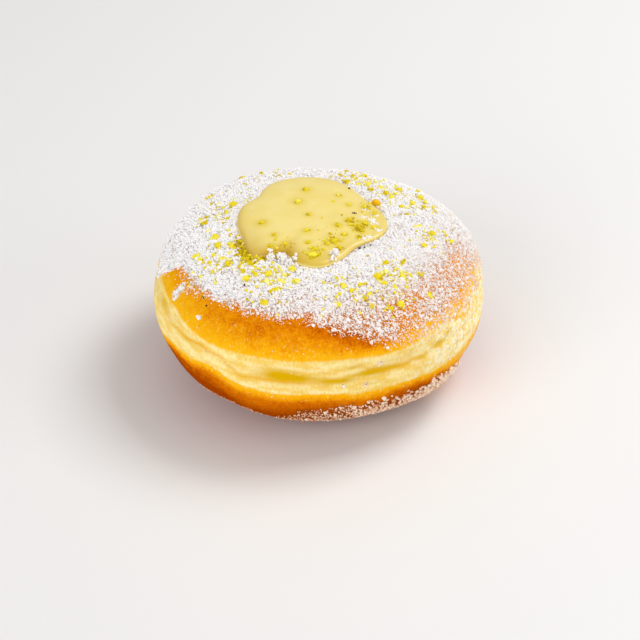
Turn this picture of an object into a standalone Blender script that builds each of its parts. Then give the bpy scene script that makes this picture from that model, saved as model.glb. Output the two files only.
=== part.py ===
"""A bombolone: a round fried bun of yeast dough, dusted with sugar, with a pool of pistachio cream
and chopped pistachios on top. Metres, +Z up. The bun's foot stands on the floor at the origin, and
the side with the bare crust faces -Y.
"""
import math
import random

import bmesh
import bpy
from mathutils import Matrix, Vector
from mathutils.bvhtree import BVHTree

MM = 0.001

# The bun, as a turned shape. Each exponent pair rounds one half: the first its radius, the second
# its height. Small first numbers make a full, square shoulder.
BUN_RADIUS = 48.5 * MM
BUN_HEIGHT = 46.0 * MM
WAIST = 23.0 * MM
FOOT_RADIUS = 23.0 * MM
CROWN_ROUND = (0.45, 0.75)
BELLY_ROUND = (0.47, 1.09)

# How the hand-shaped bun leaves the round: lobes a turn, share of the radius, direction in degrees.
# Below the waist it also has small bulges and flats: direction and share of the radius.
CROWN_LOBES = ((1, 0.009, -15), (2, 0.025, 105), (3, 0.029, 15))
BELLY_LOBES = ((1, 0.007, -6), (2, 0.024, -53), (3, 0.034, -3))
BELLY_BULGES = ((217, 0.007), (234, -0.011), (318, 0.013), (338, -0.019))
BULGE_SPREAD = 9.5
BULGE_FADE = 12.0 * MM

# The pale band that stayed above the oil, and the creases where its two rolls of dough meet:
# first and last direction, heights at the start, middle and end, half width and depth.
BAND_LOW = 20.6 * MM
BAND_TOP = 32.1 * MM
BAND_TILT = 2.2 * MM
BAND_TILT_SIDE = 215
CREASES = (
    (166, 250, 26.9, 30.5, 24.7, 1.1, 0.9),
    (243, 280, 25.8, 27.7, 26.0, 2.0, 1.3),
    (274, 290, 26.5, 26.2, 26.8, 1.3, 0.9),
    (282, 314, 27.3, 28.2, 28.3, 2.2, 1.1),
    (304, 352, 29.7, 27.7, 26.2, 1.2, 0.9),
    (340, 408, 25.8, 27.7, 26.7, 1.3, 1.0),
    (30, 84, 28.3, 26.0, 26.6, 1.2, 0.9),
    (72, 128, 26.2, 28.1, 26.0, 1.6, 1.2),
    (116, 176, 27.8, 26.0, 28.0, 1.2, 0.9),
)

# The sugar reaches down to this height, and less far on the side with the bare crust.
DUST_EDGE = 32.4 * MM
BARE_RISE = 8.6 * MM
BARE_SIDE = 238
BARE_SPREAD = 47

# The pool of cream: its middle, the reach of its edge, and the lobes and notches of that edge as
# direction, reach and half width in degrees.
CREAM_CENTRE = (-1.3 * MM, 0.8 * MM)
CREAM_REACH = 21.6 * MM
CREAM_LOBES = (
    (101, 4.4, 56),
    (140, -2.5, 12),
    (226, 3.1, 15),
    (241, -4.4, 13),
    (273, 1.5, 15),
    (315, -4.0, 23),
    (41, -3.0, 29),
)
CREAM_DEPTH = 2.4 * MM
CREAM_RIM = 0.7 * MM
CREAM_ROUND = 2.8 * MM
CREAM_THIN_SIDE = 340
CREAM_THINNER = 0.35
UNDER_RINGS = (0.0, 0.4, 0.75, 0.95, 1.0)
OVER_RINGS = (1.0, 0.985, 0.96, 0.92, 0.87, 0.78, 0.6, 0.35, 0.0)
GAP = 0.3 * MM

# Chopped pistachio. On the dough: its largest and smallest pieces, and the drifts that it fell in,
# as middle, spread and share of the pieces. On the cream: the place and size of each piece. One
# round, darker toasted crumb lies by the pool's edge.
CRUMB_LARGEST = 2.6 * MM
CRUMB_SMALLEST = 1.3 * MM
DOUGH_CRUMBS = 88
DOUGH_DRIFTS = (
    (-24.0, -9.5, 1.8, 3),
    (-20.2, -18.3, 2.0, 5),
    (-14.1, -25.0, 4.2, 16),
    (-28.1, -16.0, 4.5, 10),
    (7.4, -31.3, 4.5, 8),
    (20.4, -30.2, 4.0, 8),
    (22.9, -22.5, 3.0, 5),
    (11.4, 29.3, 4.0, 12),
    (21.4, 20.3, 3.5, 8),
    (30.4, 13.3, 3.5, 6),
    (31.4, -3.3, 3.0, 6),
    (-28.6, 10.3, 5.5, 7),
    (-14.6, 32.3, 5.0, 4),
    (0.4, 1.3, 26.0, 16),
)
CREAM_CRUMBS = (
    (-1.4, -18.2, 2.5), (-0.7, -15.5, 1.9), (4.5, -11.0, 2.4), (2.6, -12.6, 1.5), (11.6, -4.0, 2.6),
    (13.4, -1.4, 2.0), (8.9, -0.3, 1.8), (9.3, -2.2, 1.5), (13.6, 8.0, 1.7), (16.2, 4.0, 1.6),
    (-5.9, 9.4, 1.8), (-3.5, 16.3, 1.7), (5.9, 13.4, 1.4), (8.8, 8.5, 1.4), (-3.0, 2.4, 1.4),
    (-16.1, -1.6, 1.9), (-3.3, -6.3, 1.7), (-12.6, -8.4, 1.3), (-13.4, -13.6, 1.5), (5.7, -3.0, 1.7),
    (5.8, -14.0, 1.7), (15.9, -2.6, 1.5), (11.8, -8.0, 1.4), (-2.9, -12.3, 1.3), (-9.4, -12.6, 1.3),
    (7.4, -7.2, 1.5),
)
TOASTED_CRUMB = (16.9, 12.1, 2.3)
SCATTER_REACH = 43.0 * MM
RIM_MARGIN = 0.8 * MM
APART = 0.62
CRUMB_SEED = 11
BIT_SEED = 7

# A rough bit: how far its corners stray, its width and thickness as shares of its length, and how
# far its middle stands above the surface as a share of its thickness.
BIT_CORNERS = (0.82, 1.15)
BIT_WIDTH = (0.65, 1.0)
BIT_THICKNESS = (0.6, 0.85)
BIT_RAISED = 0.17

# Sugar: lumps against the cream's edge as direction and size, one lump on the cream as place and
# size, and coarse grains caked on the belly, from a low line up to one that bulges highest in the
# middle of their span.
SUGAR_LUMPS = ((236, 2.4), (244, 2.8), (252, 2.0), (330, 2.2), (346, 1.9), (20, 2.2))
CREAM_LUMP = (4.7, -17.4, 2.6)
CAKED_GRAINS = 44
CAKED_GRAIN_SIZES = (1.5 * MM, 1.0 * MM)
CAKED_SPAN = (258, 332)
CAKED_LOW = 4.0 * MM
CAKED_TOP = 9.0 * MM
CAKED_RISE = 9.5 * MM
CAKED_SIDE = 296
CAKED_SPREAD = 36
CAKED_SEED = 5

# How finely the two surfaces are cut, and the sharpest edge that is still shaded round.
AROUND_BUN = 80
AROUND_CREAM = 96
PROFILE_STEPS = 3600
BAND_ROW = 1.25 * MM
CRUST_ROW = 3.4 * MM
WELD = 0.001 * MM
ROUND_EDGE = math.radians(32)

COLOURS = {
    "crust": (0.80, 0.30, 0.020),
    "pale_band": (0.93, 0.68, 0.27),
    "sugar": (0.90, 0.89, 0.88),
    "cream": (0.82, 0.68, 0.24),
    "pistachio": (0.66, 0.60, 0.020),
}
ROUGHNESS = {"crust": 0.45, "pale_band": 0.5, "sugar": 0.9, "cream": 0.35, "pistachio": 0.7}


def clear_scene():
    """Remove whatever the file opens with."""
    for thing in list(bpy.data.objects):
        bpy.data.objects.remove(thing)


def smooth(share):
    """0 below 0, 1 above 1, and an even slope between."""
    share = min(max(share, 0.0), 1.0)
    return share * share * (3 - 2 * share)


def turn_between(angle, side):
    """Degrees from a direction to the angle, between -180 and 180."""
    return (angle - side + 180) % 360 - 180


def lobes(table, angle):
    """How far the lobes push the side out in this direction, as a share of the radius."""
    return sum(share * math.cos(math.radians(count * (angle - side))) for count, share, side in table)


def bulge(angle, height):
    """How far the bulges and flats below the waist push the side out, as a share of the radius."""
    near = sum(
        share * math.exp(-((turn_between(angle, side) / BULGE_SPREAD) ** 2))
        for side, share in BELLY_BULGES
    )
    return near * smooth((WAIST - height) / BULGE_FADE)


def crease_depth(angle, height):
    """How deep the band's creases are at this direction and height."""
    deepest = 0.0
    for first, last, start, middle, end, half_width, depth in CREASES:
        along = ((angle - first) % 360) / (last - first)
        if along < 1:
            bend = 4 * middle - 3 * start - end
            line = start + bend * along + (end - start - bend) * along * along
            across = (height / MM - line) / half_width
            fade = math.sin(math.pi * along) ** 0.6
            deepest = max(deepest, depth * fade * math.exp(-across * across))
    return deepest * MM


def bun_side(turn):
    """Radius and height of the turned bun, from its foot (-90 degrees) to its crown (90)."""
    inward, upward = math.cos(turn), abs(math.sin(turn))
    if turn < 0:
        return BUN_RADIUS * inward ** BELLY_ROUND[0], WAIST * (1 - upward ** BELLY_ROUND[1])
    rise = (BUN_HEIGHT - WAIST) * upward ** CROWN_ROUND[1]
    return BUN_RADIUS * inward ** CROWN_ROUND[0], WAIST + rise


def bun_profile():
    """The turned profile's points, from the middle of the foot to the top, closest in the band."""
    points = [(0.0, 0.0), (FOOT_RADIUS, 0.0)]
    for step in range(PROFILE_STEPS):
        radius, height = bun_side(math.radians(180 * step / PROFILE_STEPS - 90))
        on_band = BAND_LOW - BAND_TILT < height < BAND_TOP + BAND_TILT
        row = BAND_ROW if on_band else CRUST_ROW
        last_radius, last_height = points[-1]
        beside_foot = height < WAIST and radius < FOOT_RADIUS
        if not beside_foot and math.hypot(radius - last_radius, height - last_height) > row:
            points.append((radius, height))
    points.append((0.0, BUN_HEIGHT))
    return points


def shaped(point):
    """A point of the turned bun, moved to where the risen and fried dough has it."""
    radius = math.hypot(point.x, point.y)
    if radius == 0:
        return point
    angle = math.degrees(math.atan2(point.y, point.x))
    above = smooth((point.z - WAIST) / (BUN_HEIGHT - WAIST))
    below = smooth((WAIST - point.z) / WAIST)
    swell = above * lobes(CROWN_LOBES, angle) + below * lobes(BELLY_LOBES, angle)
    new_radius = radius * (1 + swell + bulge(angle, point.z)) - crease_depth(angle, point.z)
    return Vector((point.x * new_radius / radius, point.y * new_radius / radius, point.z))


def spun(profile, around):
    """A closed body turned about Z from (radius, height) points that start and end on the axis."""
    body = bmesh.new()
    corners = [body.verts.new((radius, 0, height)) for radius, height in profile]
    edges = [body.edges.new(pair) for pair in zip(corners, corners[1:])]
    bmesh.ops.spin(
        body, geom=corners + edges, cent=(0, 0, 0), axis=(0, 0, 1),
        angle=math.tau, steps=around, use_merge=True,
    )
    bmesh.ops.remove_doubles(body, verts=body.verts, dist=WELD)
    return body


def sugar_line(angle):
    """The height that the dusting of sugar reaches down to in this direction."""
    bare = abs(turn_between(angle, BARE_SIDE) / BARE_SPREAD) ** 3
    return DUST_EDGE + BARE_RISE * math.exp(-bare)


def dough_finish(middle):
    """Which finish a face of the dough has: 0 crust, 1 pale band, 2 sugar."""
    angle = math.degrees(math.atan2(middle.y, middle.x))
    tilt = BAND_TILT * math.cos(math.radians(turn_between(angle, BAND_TILT_SIDE)))
    if middle.z > sugar_line(angle):
        return 2
    return 1 if BAND_LOW + tilt < middle.z < BAND_TOP else 0


def build_dough():
    """The bun itself, as a mesh still in bmesh form, with its finishes marked face by face."""
    dough = spun(bun_profile(), AROUND_BUN)
    for vert in dough.verts:
        vert.co = shaped(vert.co)
    bmesh.ops.triangulate(dough, faces=dough.faces)
    bmesh.ops.recalc_face_normals(dough, faces=dough.faces)
    for face in dough.faces:
        face.material_index = dough_finish(face.calc_center_median())
    return dough


def cream_reach(angle):
    """How far the pool's edge lies from its middle in this direction."""
    reach = CREAM_REACH
    for side, out, spread in CREAM_LOBES:
        away = turn_between(angle, side) / spread
        reach += out * MM * math.exp(-away * away)
    return reach


def landing(tree, x, y):
    """Where something dropped at x, y lands on the surface, and the surface's slope there."""
    place, normal, _, _ = tree.ray_cast(Vector((x, y, 2 * BUN_HEIGHT)), Vector((0, 0, -1)))
    return place, normal


def build_cream(dough_tree):
    """The pool: level in its middle, rounded at its rim, and a hair above the dough all over."""
    under = [(share, 0.0) for share in UNDER_RINGS]
    over = [(share, 1.0) for share in OVER_RINGS]
    cream = spun(under + over, AROUND_CREAM)
    for vert in cream.verts:
        share = math.hypot(vert.co.x, vert.co.y)
        angle = math.degrees(math.atan2(vert.co.y, vert.co.x))
        reach = cream_reach(angle) * share
        x = CREAM_CENTRE[0] + reach * math.cos(math.radians(angle))
        y = CREAM_CENTRE[1] + reach * math.sin(math.radians(angle))
        inside = min(max(1 - share, 0.0) * cream_reach(angle) / CREAM_ROUND, 1.0)
        away = math.radians(turn_between(angle, CREAM_THIN_SIDE))
        full = CREAM_DEPTH * (1 - CREAM_THINNER * share * max(math.cos(away), 0.0))
        depth = CREAM_RIM + (full - CREAM_RIM) * math.sqrt(inside * (2 - inside))
        place, _ = landing(dough_tree, x, y)
        vert.co = (x, y, place.z + GAP + vert.co.z * depth)
    bmesh.ops.triangulate(cream, faces=cream.faces)
    bmesh.ops.recalc_face_normals(cream, faces=cream.faces)
    return cream


def piece(rng, name, place, normal, size, finish):
    """One rough bit with twenty sides, its width and thickness drawn at random, a third sunk in."""
    bit = bmesh.new()
    bmesh.ops.create_icosphere(bit, subdivisions=1, radius=size / 2)
    for vert in bit.verts:
        vert.co *= rng.uniform(*BIT_CORNERS)
    thick = rng.uniform(*BIT_THICKNESS)
    bmesh.ops.scale(bit, vec=(1.0, rng.uniform(*BIT_WIDTH), thick), verts=bit.verts)
    turned = Matrix.Rotation(rng.uniform(0, math.tau), 4, "Z")
    upright = normal.to_track_quat("Z", "Y").to_matrix().to_4x4()
    raised = Matrix.Translation(place + normal * size * thick * BIT_RAISED)
    bmesh.ops.transform(bit, matrix=raised @ upright @ turned, verts=bit.verts)
    for face in bit.faces:
        face.material_index = finish
    mesh = bpy.data.meshes.new(name)
    bit.to_mesh(mesh)
    bit.free()
    return bpy.data.objects.new(name, mesh)


def drawn_place(rng):
    """A point drawn from the drifts, each in proportion to its share."""
    shares = [drift[3] for drift in DOUGH_DRIFTS]
    x, y, spread, _ = rng.choices(DOUGH_DRIFTS, weights=shares)[0]
    return rng.gauss(x, spread) * MM, rng.gauss(y, spread) * MM


def beyond_cream(x, y):
    """Distance from the pool's edge, outwards, along the line from the pool's middle."""
    across, along = x - CREAM_CENTRE[0], y - CREAM_CENTRE[1]
    return math.hypot(across, along) - cream_reach(math.degrees(math.atan2(along, across)))


def crumb_places(taken):
    """Places and sizes of the pistachio on the dough, the largest first, each clear of the others."""
    rng = random.Random(CRUMB_SEED)
    places = []
    while len(places) < DOUGH_CRUMBS:
        x, y = drawn_place(rng)
        size = CRUMB_LARGEST + (CRUMB_SMALLEST - CRUMB_LARGEST) * len(places) / DOUGH_CRUMBS
        clear_of_rim = beyond_cream(x, y) > 0.5 * size + RIM_MARGIN
        apart = all(math.hypot(x - a, y - b) > APART * (size + c) for a, b, c in taken + places)
        if clear_of_rim and apart and math.hypot(x, y) < SCATTER_REACH:
            places.append((x, y, size))
    return places


def in_metres(row):
    """A place and size listed in millimetres."""
    return tuple(number * MM for number in row)


def lump_places():
    """Places and sizes of the sugar lumps, each just outside the pool's edge."""
    places = []
    for direction, size in SUGAR_LUMPS:
        out = cream_reach(direction) + 0.5 * size * MM + 2 * GAP
        x = CREAM_CENTRE[0] + out * math.cos(math.radians(direction))
        y = CREAM_CENTRE[1] + out * math.sin(math.radians(direction))
        places.append((x, y, size * MM))
    return places


def dough_bits(tree):
    """What lies on the dough: pistachio, sugar lumps by the cream, and grains caked on the belly."""
    rng = random.Random(BIT_SEED)
    lumps = lump_places()
    toasted = [in_metres(TOASTED_CRUMB)]
    chopped = crumb_places(lumps + toasted)
    bits = [piece(rng, "lump", *landing(tree, x, y), size, 2) for x, y, size in lumps]
    for x, y, size in toasted + chopped:
        bits.append(piece(rng, "crumb", *landing(tree, x, y), size, 3))
    return bits + caked_bits(tree)


def caked_bits(tree):
    """Coarse sugar that stuck to the damp lower side, evenly along it in three jittered rows."""
    rng = random.Random(CAKED_SEED)
    bits = []
    for number in range(CAKED_GRAINS):
        share = (number + rng.uniform(0.2, 0.8)) / CAKED_GRAINS
        angle = CAKED_SPAN[0] + (CAKED_SPAN[1] - CAKED_SPAN[0]) * share
        away = turn_between(angle, CAKED_SIDE) / CAKED_SPREAD
        top = CAKED_TOP + CAKED_RISE * math.exp(-(away ** 4))
        row = (number % 3 + rng.uniform(0.2, 0.8)) / 3
        height = CAKED_LOW + (top - CAKED_LOW) * row
        turn = math.radians(angle)
        outward = Vector((math.cos(turn), math.sin(turn), 0))
        start = outward * 2 * BUN_RADIUS + Vector((0, 0, height))
        place, normal, _, _ = tree.ray_cast(start, -outward)
        bits.append(piece(rng, "grain", place, normal, rng.uniform(*CAKED_GRAIN_SIZES), 2))
    return bits


def cream_bits(tree):
    """What lies on the cream: a lump of sugar near its front edge, and chopped pistachio."""
    rng = random.Random(BIT_SEED)
    x, y, size = in_metres(CREAM_LUMP)
    bits = [piece(rng, "lump", *landing(tree, x, y), size, 2)]
    for x, y, size in map(in_metres, CREAM_CRUMBS):
        bits.append(piece(rng, "crumb", *landing(tree, x, y), size, 1))
    return bits


def finish(name):
    """A plain material for one of the named finishes."""
    material = bpy.data.materials.new(name)
    material.use_nodes = True
    shader = material.node_tree.nodes["Principled BSDF"]
    shader.inputs["Base Color"].default_value = (*COLOURS[name], 1)
    shader.inputs["Roughness"].default_value = ROUGHNESS[name]
    shader.inputs["Metallic"].default_value = 0.0
    material.diffuse_color = (*COLOURS[name], 1)
    return material


def add_object(name, body, finishes):
    """A scene object from a bmesh, with its finishes in the order of the faces' numbers."""
    mesh = bpy.data.meshes.new(name)
    body.to_mesh(mesh)
    body.free()
    for one in finishes:
        mesh.materials.append(finish(one))
    solid = bpy.data.objects.new(name, mesh)
    bpy.context.scene.collection.objects.link(solid)
    return solid


def fuse(solid, bits):
    """Join the bits to the solid in one Boolean union, then take the loose bits away."""
    heap = bpy.data.collections.new("heap")
    bpy.context.scene.collection.children.link(heap)
    for bit in bits:
        for material in solid.data.materials:
            bit.data.materials.append(material)
        heap.objects.link(bit)
    union = solid.modifiers.new("union", "BOOLEAN")
    union.operation = "UNION"
    union.solver = "EXACT"
    union.operand_type = "COLLECTION"
    union.collection = heap
    evaluated = solid.evaluated_get(bpy.context.evaluated_depsgraph_get())
    fused = bpy.data.meshes.new_from_object(evaluated)
    fused.shade_smooth()
    fused.set_sharp_from_angle(angle=ROUND_EDGE)
    solid.modifiers.clear()
    solid.data = fused
    for bit in bits:
        bpy.data.objects.remove(bit)
    bpy.data.collections.remove(heap)


def build():
    """The whole bombolone."""
    clear_scene()
    dough = build_dough()
    dough_tree = BVHTree.FromBMesh(dough)
    cream = build_cream(dough_tree)
    cream_tree = BVHTree.FromBMesh(cream)
    bun = add_object("dough", dough, ("crust", "pale_band", "sugar", "pistachio"))
    pool = add_object("cream", cream, ("cream", "pistachio", "sugar"))
    fuse(bun, dough_bits(dough_tree))
    fuse(pool, cream_bits(cream_tree))


build()
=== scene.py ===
import math
import random

import bmesh
import bpy
import numpy as np
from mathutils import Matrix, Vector, noise
from mathutils.bvhtree import BVHTree


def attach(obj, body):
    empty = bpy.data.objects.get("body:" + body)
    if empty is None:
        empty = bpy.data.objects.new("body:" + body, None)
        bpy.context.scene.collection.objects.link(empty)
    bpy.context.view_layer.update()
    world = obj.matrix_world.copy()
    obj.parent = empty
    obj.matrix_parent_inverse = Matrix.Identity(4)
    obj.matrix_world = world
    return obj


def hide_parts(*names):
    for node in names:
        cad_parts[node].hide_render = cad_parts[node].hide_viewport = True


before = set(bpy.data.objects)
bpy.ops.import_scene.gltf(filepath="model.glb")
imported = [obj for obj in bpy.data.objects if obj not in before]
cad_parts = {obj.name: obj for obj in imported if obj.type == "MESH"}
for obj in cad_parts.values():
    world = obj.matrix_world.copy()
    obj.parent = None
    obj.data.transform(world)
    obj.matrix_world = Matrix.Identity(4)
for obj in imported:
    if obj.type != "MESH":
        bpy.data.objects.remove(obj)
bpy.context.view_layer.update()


# The bun: a ball of soft yeast dough, left to rise and fried in deep oil, first on one side and then
# on the other. The crust is golden above and below. The band round its waist floated above the oil
# and stayed pale, and its two rolls of dough meet in creases and soft dents.
MM = 0.001
BUN_RADIUS = 48.5 * MM
BUN_HEIGHT = 46.0 * MM
WAIST = 23.0 * MM
FOOT_RADIUS = 23.0 * MM

# The bun's section is round above and below to these powers, of the cosine and of the sine. A lobe is
# a count of waves round the bun, a share of its radius and a direction, and a bulge is a direction and
# a share. A crease runs between two directions, with its height at its start, middle and end, its half
# width and its depth, in millimetres, and it is softer on some sides.
CROWN_ROUND = (0.45, 0.75)
BELLY_ROUND = (0.47, 1.09)
CROWN_LOBES = ((1, 0.009, -15), (2, 0.025, 105), (3, 0.029, 15))
BELLY_LOBES = ((1, 0.007, -6), (2, 0.024, -53), (3, 0.034, -3))
BELLY_BULGES = ((217, 0.007), (234, -0.011), (318, 0.013), (338, -0.019))
BULGE_SPREAD = 9.5
BULGE_FADE = 12.0 * MM
CREASES = (
    (166, 250, 26.9, 30.5, 24.7, 1.1, 0.9),
    (243, 280, 25.8, 27.7, 26.0, 2.0, 1.3),
    (274, 290, 26.5, 26.2, 26.8, 1.3, 0.9),
    (282, 314, 27.3, 28.2, 28.3, 2.2, 1.1),
    (304, 352, 29.7, 27.7, 26.2, 1.2, 0.9),
    (340, 408, 25.8, 27.7, 26.7, 1.3, 1.0),
    (30, 84, 28.3, 26.0, 26.6, 1.2, 0.9),
    (72, 128, 26.2, 28.1, 26.0, 1.6, 1.2),
    (116, 176, 27.8, 26.0, 28.0, 1.2, 0.9),
)
SOFT_CREASES = ((327, 0.6, 14), (217, 0.5, 22))
AROUND_BUN = 400
FINE_ROW = 0.58 * MM
BAND_ROW = 0.42 * MM
BAND_ROWS = (19.0 * MM, 34.0 * MM)
FOOT_ROW = 6.0 * MM

# Sharp lines in the creases, each as directions and heights along it, and soft dents beside them, which
# have no relief and are only painted shade in olive, as direction, height, half width in degrees, half
# height in millimetres and strength.
FOLD_LINES = (
    ((194, 29.8), (206, 29.1), (213, 28.5), (219, 28.2), (228, 28.5), (235, 28.0), (240, 25.9), (244, 24.3),
     (251, 25.0), (259, 25.4), (271, 25.2), (281, 25.2)),
    ((279, 32.6), (284, 30.4), (287, 28.2), (293, 26.6), (301, 26.8), (306, 27.4), (311, 28.4)),
    ((352, 26.8), (362, 27.4), (374, 27.7), (392, 27.4), (408, 26.7)),
    ((30, 28.3), (44, 26.6), (57, 26.0), (84, 26.6)),
    ((72, 26.2), (86, 27.6), (100, 28.1), (128, 26.0)),
    ((116, 27.8), (130, 26.5), (146, 26.0), (176, 28.0)),
)
LINE_WIDTHS = ((0.3, 1.3), (0.7, 0.34))
LINE_DEPTH = 0.07 * MM
SHADED_DENTS = (
    (258, 26.6, 8.0, 1.7, 1.3),
    (268, 26.5, 7.0, 1.0, 0.5),
    (276.5, 25.8, 6.0, 0.8, 1.1),
    (287.5, 27.3, 6.0, 1.0, 1.4),
    (297, 27.0, 5.0, 0.7, 0.9),
    (281.5, 30.0, 3.5, 0.7, 0.8),
    (307, 27.1, 2.6, 0.8, 0.9),
    (315, 28.6, 3.2, 0.9, 0.9),
    (320, 30.6, 2.0, 0.7, 0.8),
    (221, 28.3, 4.0, 0.8, 0.5),
    (199, 30.4, 6.0, 1.2, 0.5),
    (60, 26.4, 12.0, 1.2, 0.7),
    (104, 27.6, 12.0, 1.4, 0.8),
    (12, 27.4, 12.0, 1.2, 0.7),
    (150, 26.5, 12.0, 1.2, 0.7),
)

# The pale band's edges and the sugar's, as heights in millimetres. Each bump in them is a direction,
# a rise and a half width in degrees, and a soft edge fades over so many millimetres on both sides.
BAND_TOP = 32.1
BAND_TOP_BUMPS = (
    (231, -1.0, 12), (277, 0.7, 18), (207, 0.6, 10), (316, 1.7, 9), (330, -1.8, 7), (350, 4.0, 11),
    (186, 1.8, 12), (60, 1.0, 30), (130, -0.8, 30),
)
BAND_LOW = 20.6
BAND_LOW_BUMPS = (
    (231, 3.0, 9), (213, 1.9, 9), (272, 1.1, 13), (298, 0.7, 7), (321, -0.4, 9), (340, 0.9, 16),
    (30, 0.8, 30), (110, -0.9, 30), (165, 0.8, 20),
)
BAND_TOP_SOFT = 1.2
BAND_LOW_SOFT = 1.0
DUST_EDGE = 32.4
BARE_RISE = 8.6
BARE_SIDE = 238
BARE_SPREAD = 47
DUST_EDGE_BUMPS = (
    (266, 2.5, 13), (284, 2.1, 10), (196, 2.2, 12), (185, -4.5, 5.5), (242, 0.4, 9), (211, -1.4, 8),
)
DUST_FADE = 1.5
DUST_FADE_BUMPS = ((325, 5.0, 30), (20, 4.0, 40), (209, 2.6, 8))
DUST_BELOW = 0.9
DUST_THIN = ((305, -0.30, 9), (344, -0.28, 12))
DUST_THIN_TOP = 43.5
DUST_THIN_FADE = 2.0
DUST_PATCHES = (
    (206.3, 35.2, 1.5), (205.4, 36.4, 1.8), (206.6, 37.6, 1.6), (223.7, 35.6, 0.8),
    (278.1, 24.3, 0.7), (286.1, 23.8, 1.0), (291.1, 29.7, 0.7),
)
PATCH_RAGGED = 0.4
PATCH_FILL = 1.8

# The sugar caked on the belly lies between two ends, each a direction and the degrees it fades over.
CAKE_LOW = 2.5
CAKE_LOW_FADE = 3
CAKE_TOP = 9.0
CAKE_TOP_FADE = 1.8
CAKE_RISE = 9.5
CAKE_SIDE = 296
CAKE_SPREAD = 36
CAKE_BUMPS = ((296, -1.6, 28), (322, 1.8, 9), (262, 1.2, 6))
CAKE_START = (252, 9)
CAKE_END = (337, 11)

# The fine frost of sugar on the right of the band, a trace of which lies on the crust below it, and
# the side on which the sugar coat is thin, as directions, spreads and heights.
FROST_SIDE = (335, 28)
FROST_LOW = (20.5, 2)
FROST_TOP = (37, 4)
FROST_TRACE = 0.4
FROST_TRACE_SIDE = (338, 14)
FROST_TRACE_LOW = (13, 4)
THIN_SIDE = (303, 64)
THIN_TOP = (46.6, 5.5)

# How the crust browns away from the band: each step is a share, the distance at which it starts and
# the distance it grows over. Some sides of the bun are browner or paler than others.
BROWN_ABOVE = ((0.28, 0.0, 3.6), (0.30, 2.0, 6.0))
BROWN_ABOVE_BUMPS = ((286, 0.30, 12), (264, -0.05, 10), (212, -0.16, 22), (328, -0.25, 20))
BROWN_ABOVE_FADE = 3.0
BROWN_BY_SUGAR_BUMPS = ((274, 0.15, 22),)
BROWN_BY_SUGAR = (4.5, 3.5)
BROWN_LEAST = 0.06
BROWN_BELOW = ((0.60, 0.0, 4.0), (0.30, 3.0, 8.5))
BROWN_BELOW_BUMPS = ((213, 0.27, 18), (266, 0.12, 14), (308, 0.24, 14), (336, -0.40, 14))
BROWN_BELOW_FADE = 2.4
# Painted shade in the creases, by their depth, and how far the painted shade of the dents wanders.
CREASE_SHADE = 0.12
DENT_WOBBLE = 0.7

# Unevenness of the edges and of the skin, as waves: each an amount and a size, in millimetres.
DUST_RAGGED = ((1.0, 3.1), (0.8, 1.2))
CAKE_RAGGED = ((2.2, 3.3), (1.4, 1.3))
BAND_WANDER = ((0.4, 7), (0.3, 2.0))
FOLD_WOBBLE = ((0.5, 4), (0.22, 1.1))
SKIN_SWELL = ((0.12, 8),)
SKIN_SINK = 0.12
SUGAR_COAT = ((0.26, 1.5),)
SUGAR_COAT_SINK = 0.06
BAND_GRAIN = 0.08
BAND_GRAIN_LONG = 5
FLAT_FOOT = 0.5 * MM


def smooth(share):
    share = min(max(share, 0.0), 1.0)
    return share * share * (3 - 2 * share)


def direction(x, y):
    return math.degrees(math.atan2(y, x))


def beside(x, y, turn, out):
    """The place that lies this far out from x, y."""
    return x + out * math.cos(turn), y + out * math.sin(turn)


def turn_between(angle, side):
    return (angle - side + 180) % 360 - 180


def towards(angle, side, spread):
    """1 in one direction from the middle of the bun, falling away to 0 on both sides of it."""
    return math.exp(-((turn_between(angle, side) / spread) ** 2))


def plateau(angle, side, spread):
    """1 all over one side of the bun, with a quick fall to 0 at both ends of it."""
    return math.exp(-((turn_between(angle, side) / spread) ** 4))


def bumps(table, angle):
    return sum(rise * towards(angle, side, spread) for side, rise, spread in table)


def uneven(waves, point):
    return sum(amount * noise.noise(point / (size * MM)) for amount, size in waves)


def lobes(table, angle):
    return sum(share * math.cos(math.radians(count * (angle - side))) for count, share, side in table)


def bulge(angle, height):
    table = [(side, share, BULGE_SPREAD) for side, share in BELLY_BULGES]
    return bumps(table, angle) * smooth((WAIST - height) / BULGE_FADE)


def crease_depth(angle, height):
    deepest = 0.0
    for first, last, start, middle, end, half_width, depth in CREASES:
        along = ((angle - first) % 360) / (last - first)
        if along < 1:
            bend = 4 * middle - 3 * start - end
            line = start + bend * along + (end - start - bend) * along * along
            across = (height / MM - line) / half_width
            fade = math.sin(math.pi * along) ** 0.6
            deepest = max(deepest, depth * fade * math.exp(-across * across))
    return deepest * (1 - bumps(SOFT_CREASES, angle)) * MM


def line_strength(angle, height):
    """How near a sharp fold line this is: 1 on it, and 0 from about a millimetre away."""
    nearest = 0.0
    for line in FOLD_LINES:
        along = (angle - line[0][0]) % 360
        whole = line[-1][0] - line[0][0]
        if along > whole:
            continue
        for (first, low), (last, high) in zip(line, line[1:]):
            if along <= last - line[0][0]:
                share = smooth((along - first + line[0][0]) / (last - first))
                break
        across = height - low - (high - low) * share
        fade = min(1.0, 4 * along / whole, 4 * (1 - along / whole))
        strength = sum(amount * math.exp(-((across / width) ** 2)) for amount, width in LINE_WIDTHS)
        nearest = max(nearest, fade * strength)
    return nearest


# How strong the painted shade of the dents is here.
def dent_shade(angle, height):
    total = 0.0
    for side, level, wide, tall, strength in SHADED_DENTS:
        across = turn_between(angle, side) / wide
        up = (height - level) / tall
        total += strength * math.exp(-across * across - up * up)
    return min(total, 1.0)


def bun_side(turn):
    inward, upward = math.cos(turn), abs(math.sin(turn))
    if turn < 0:
        return BUN_RADIUS * inward ** BELLY_ROUND[0], WAIST * (1 - upward ** BELLY_ROUND[1])
    rise = (BUN_HEIGHT - WAIST) * upward ** CROWN_ROUND[1]
    return BUN_RADIUS * inward ** CROWN_ROUND[0], WAIST + rise


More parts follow.
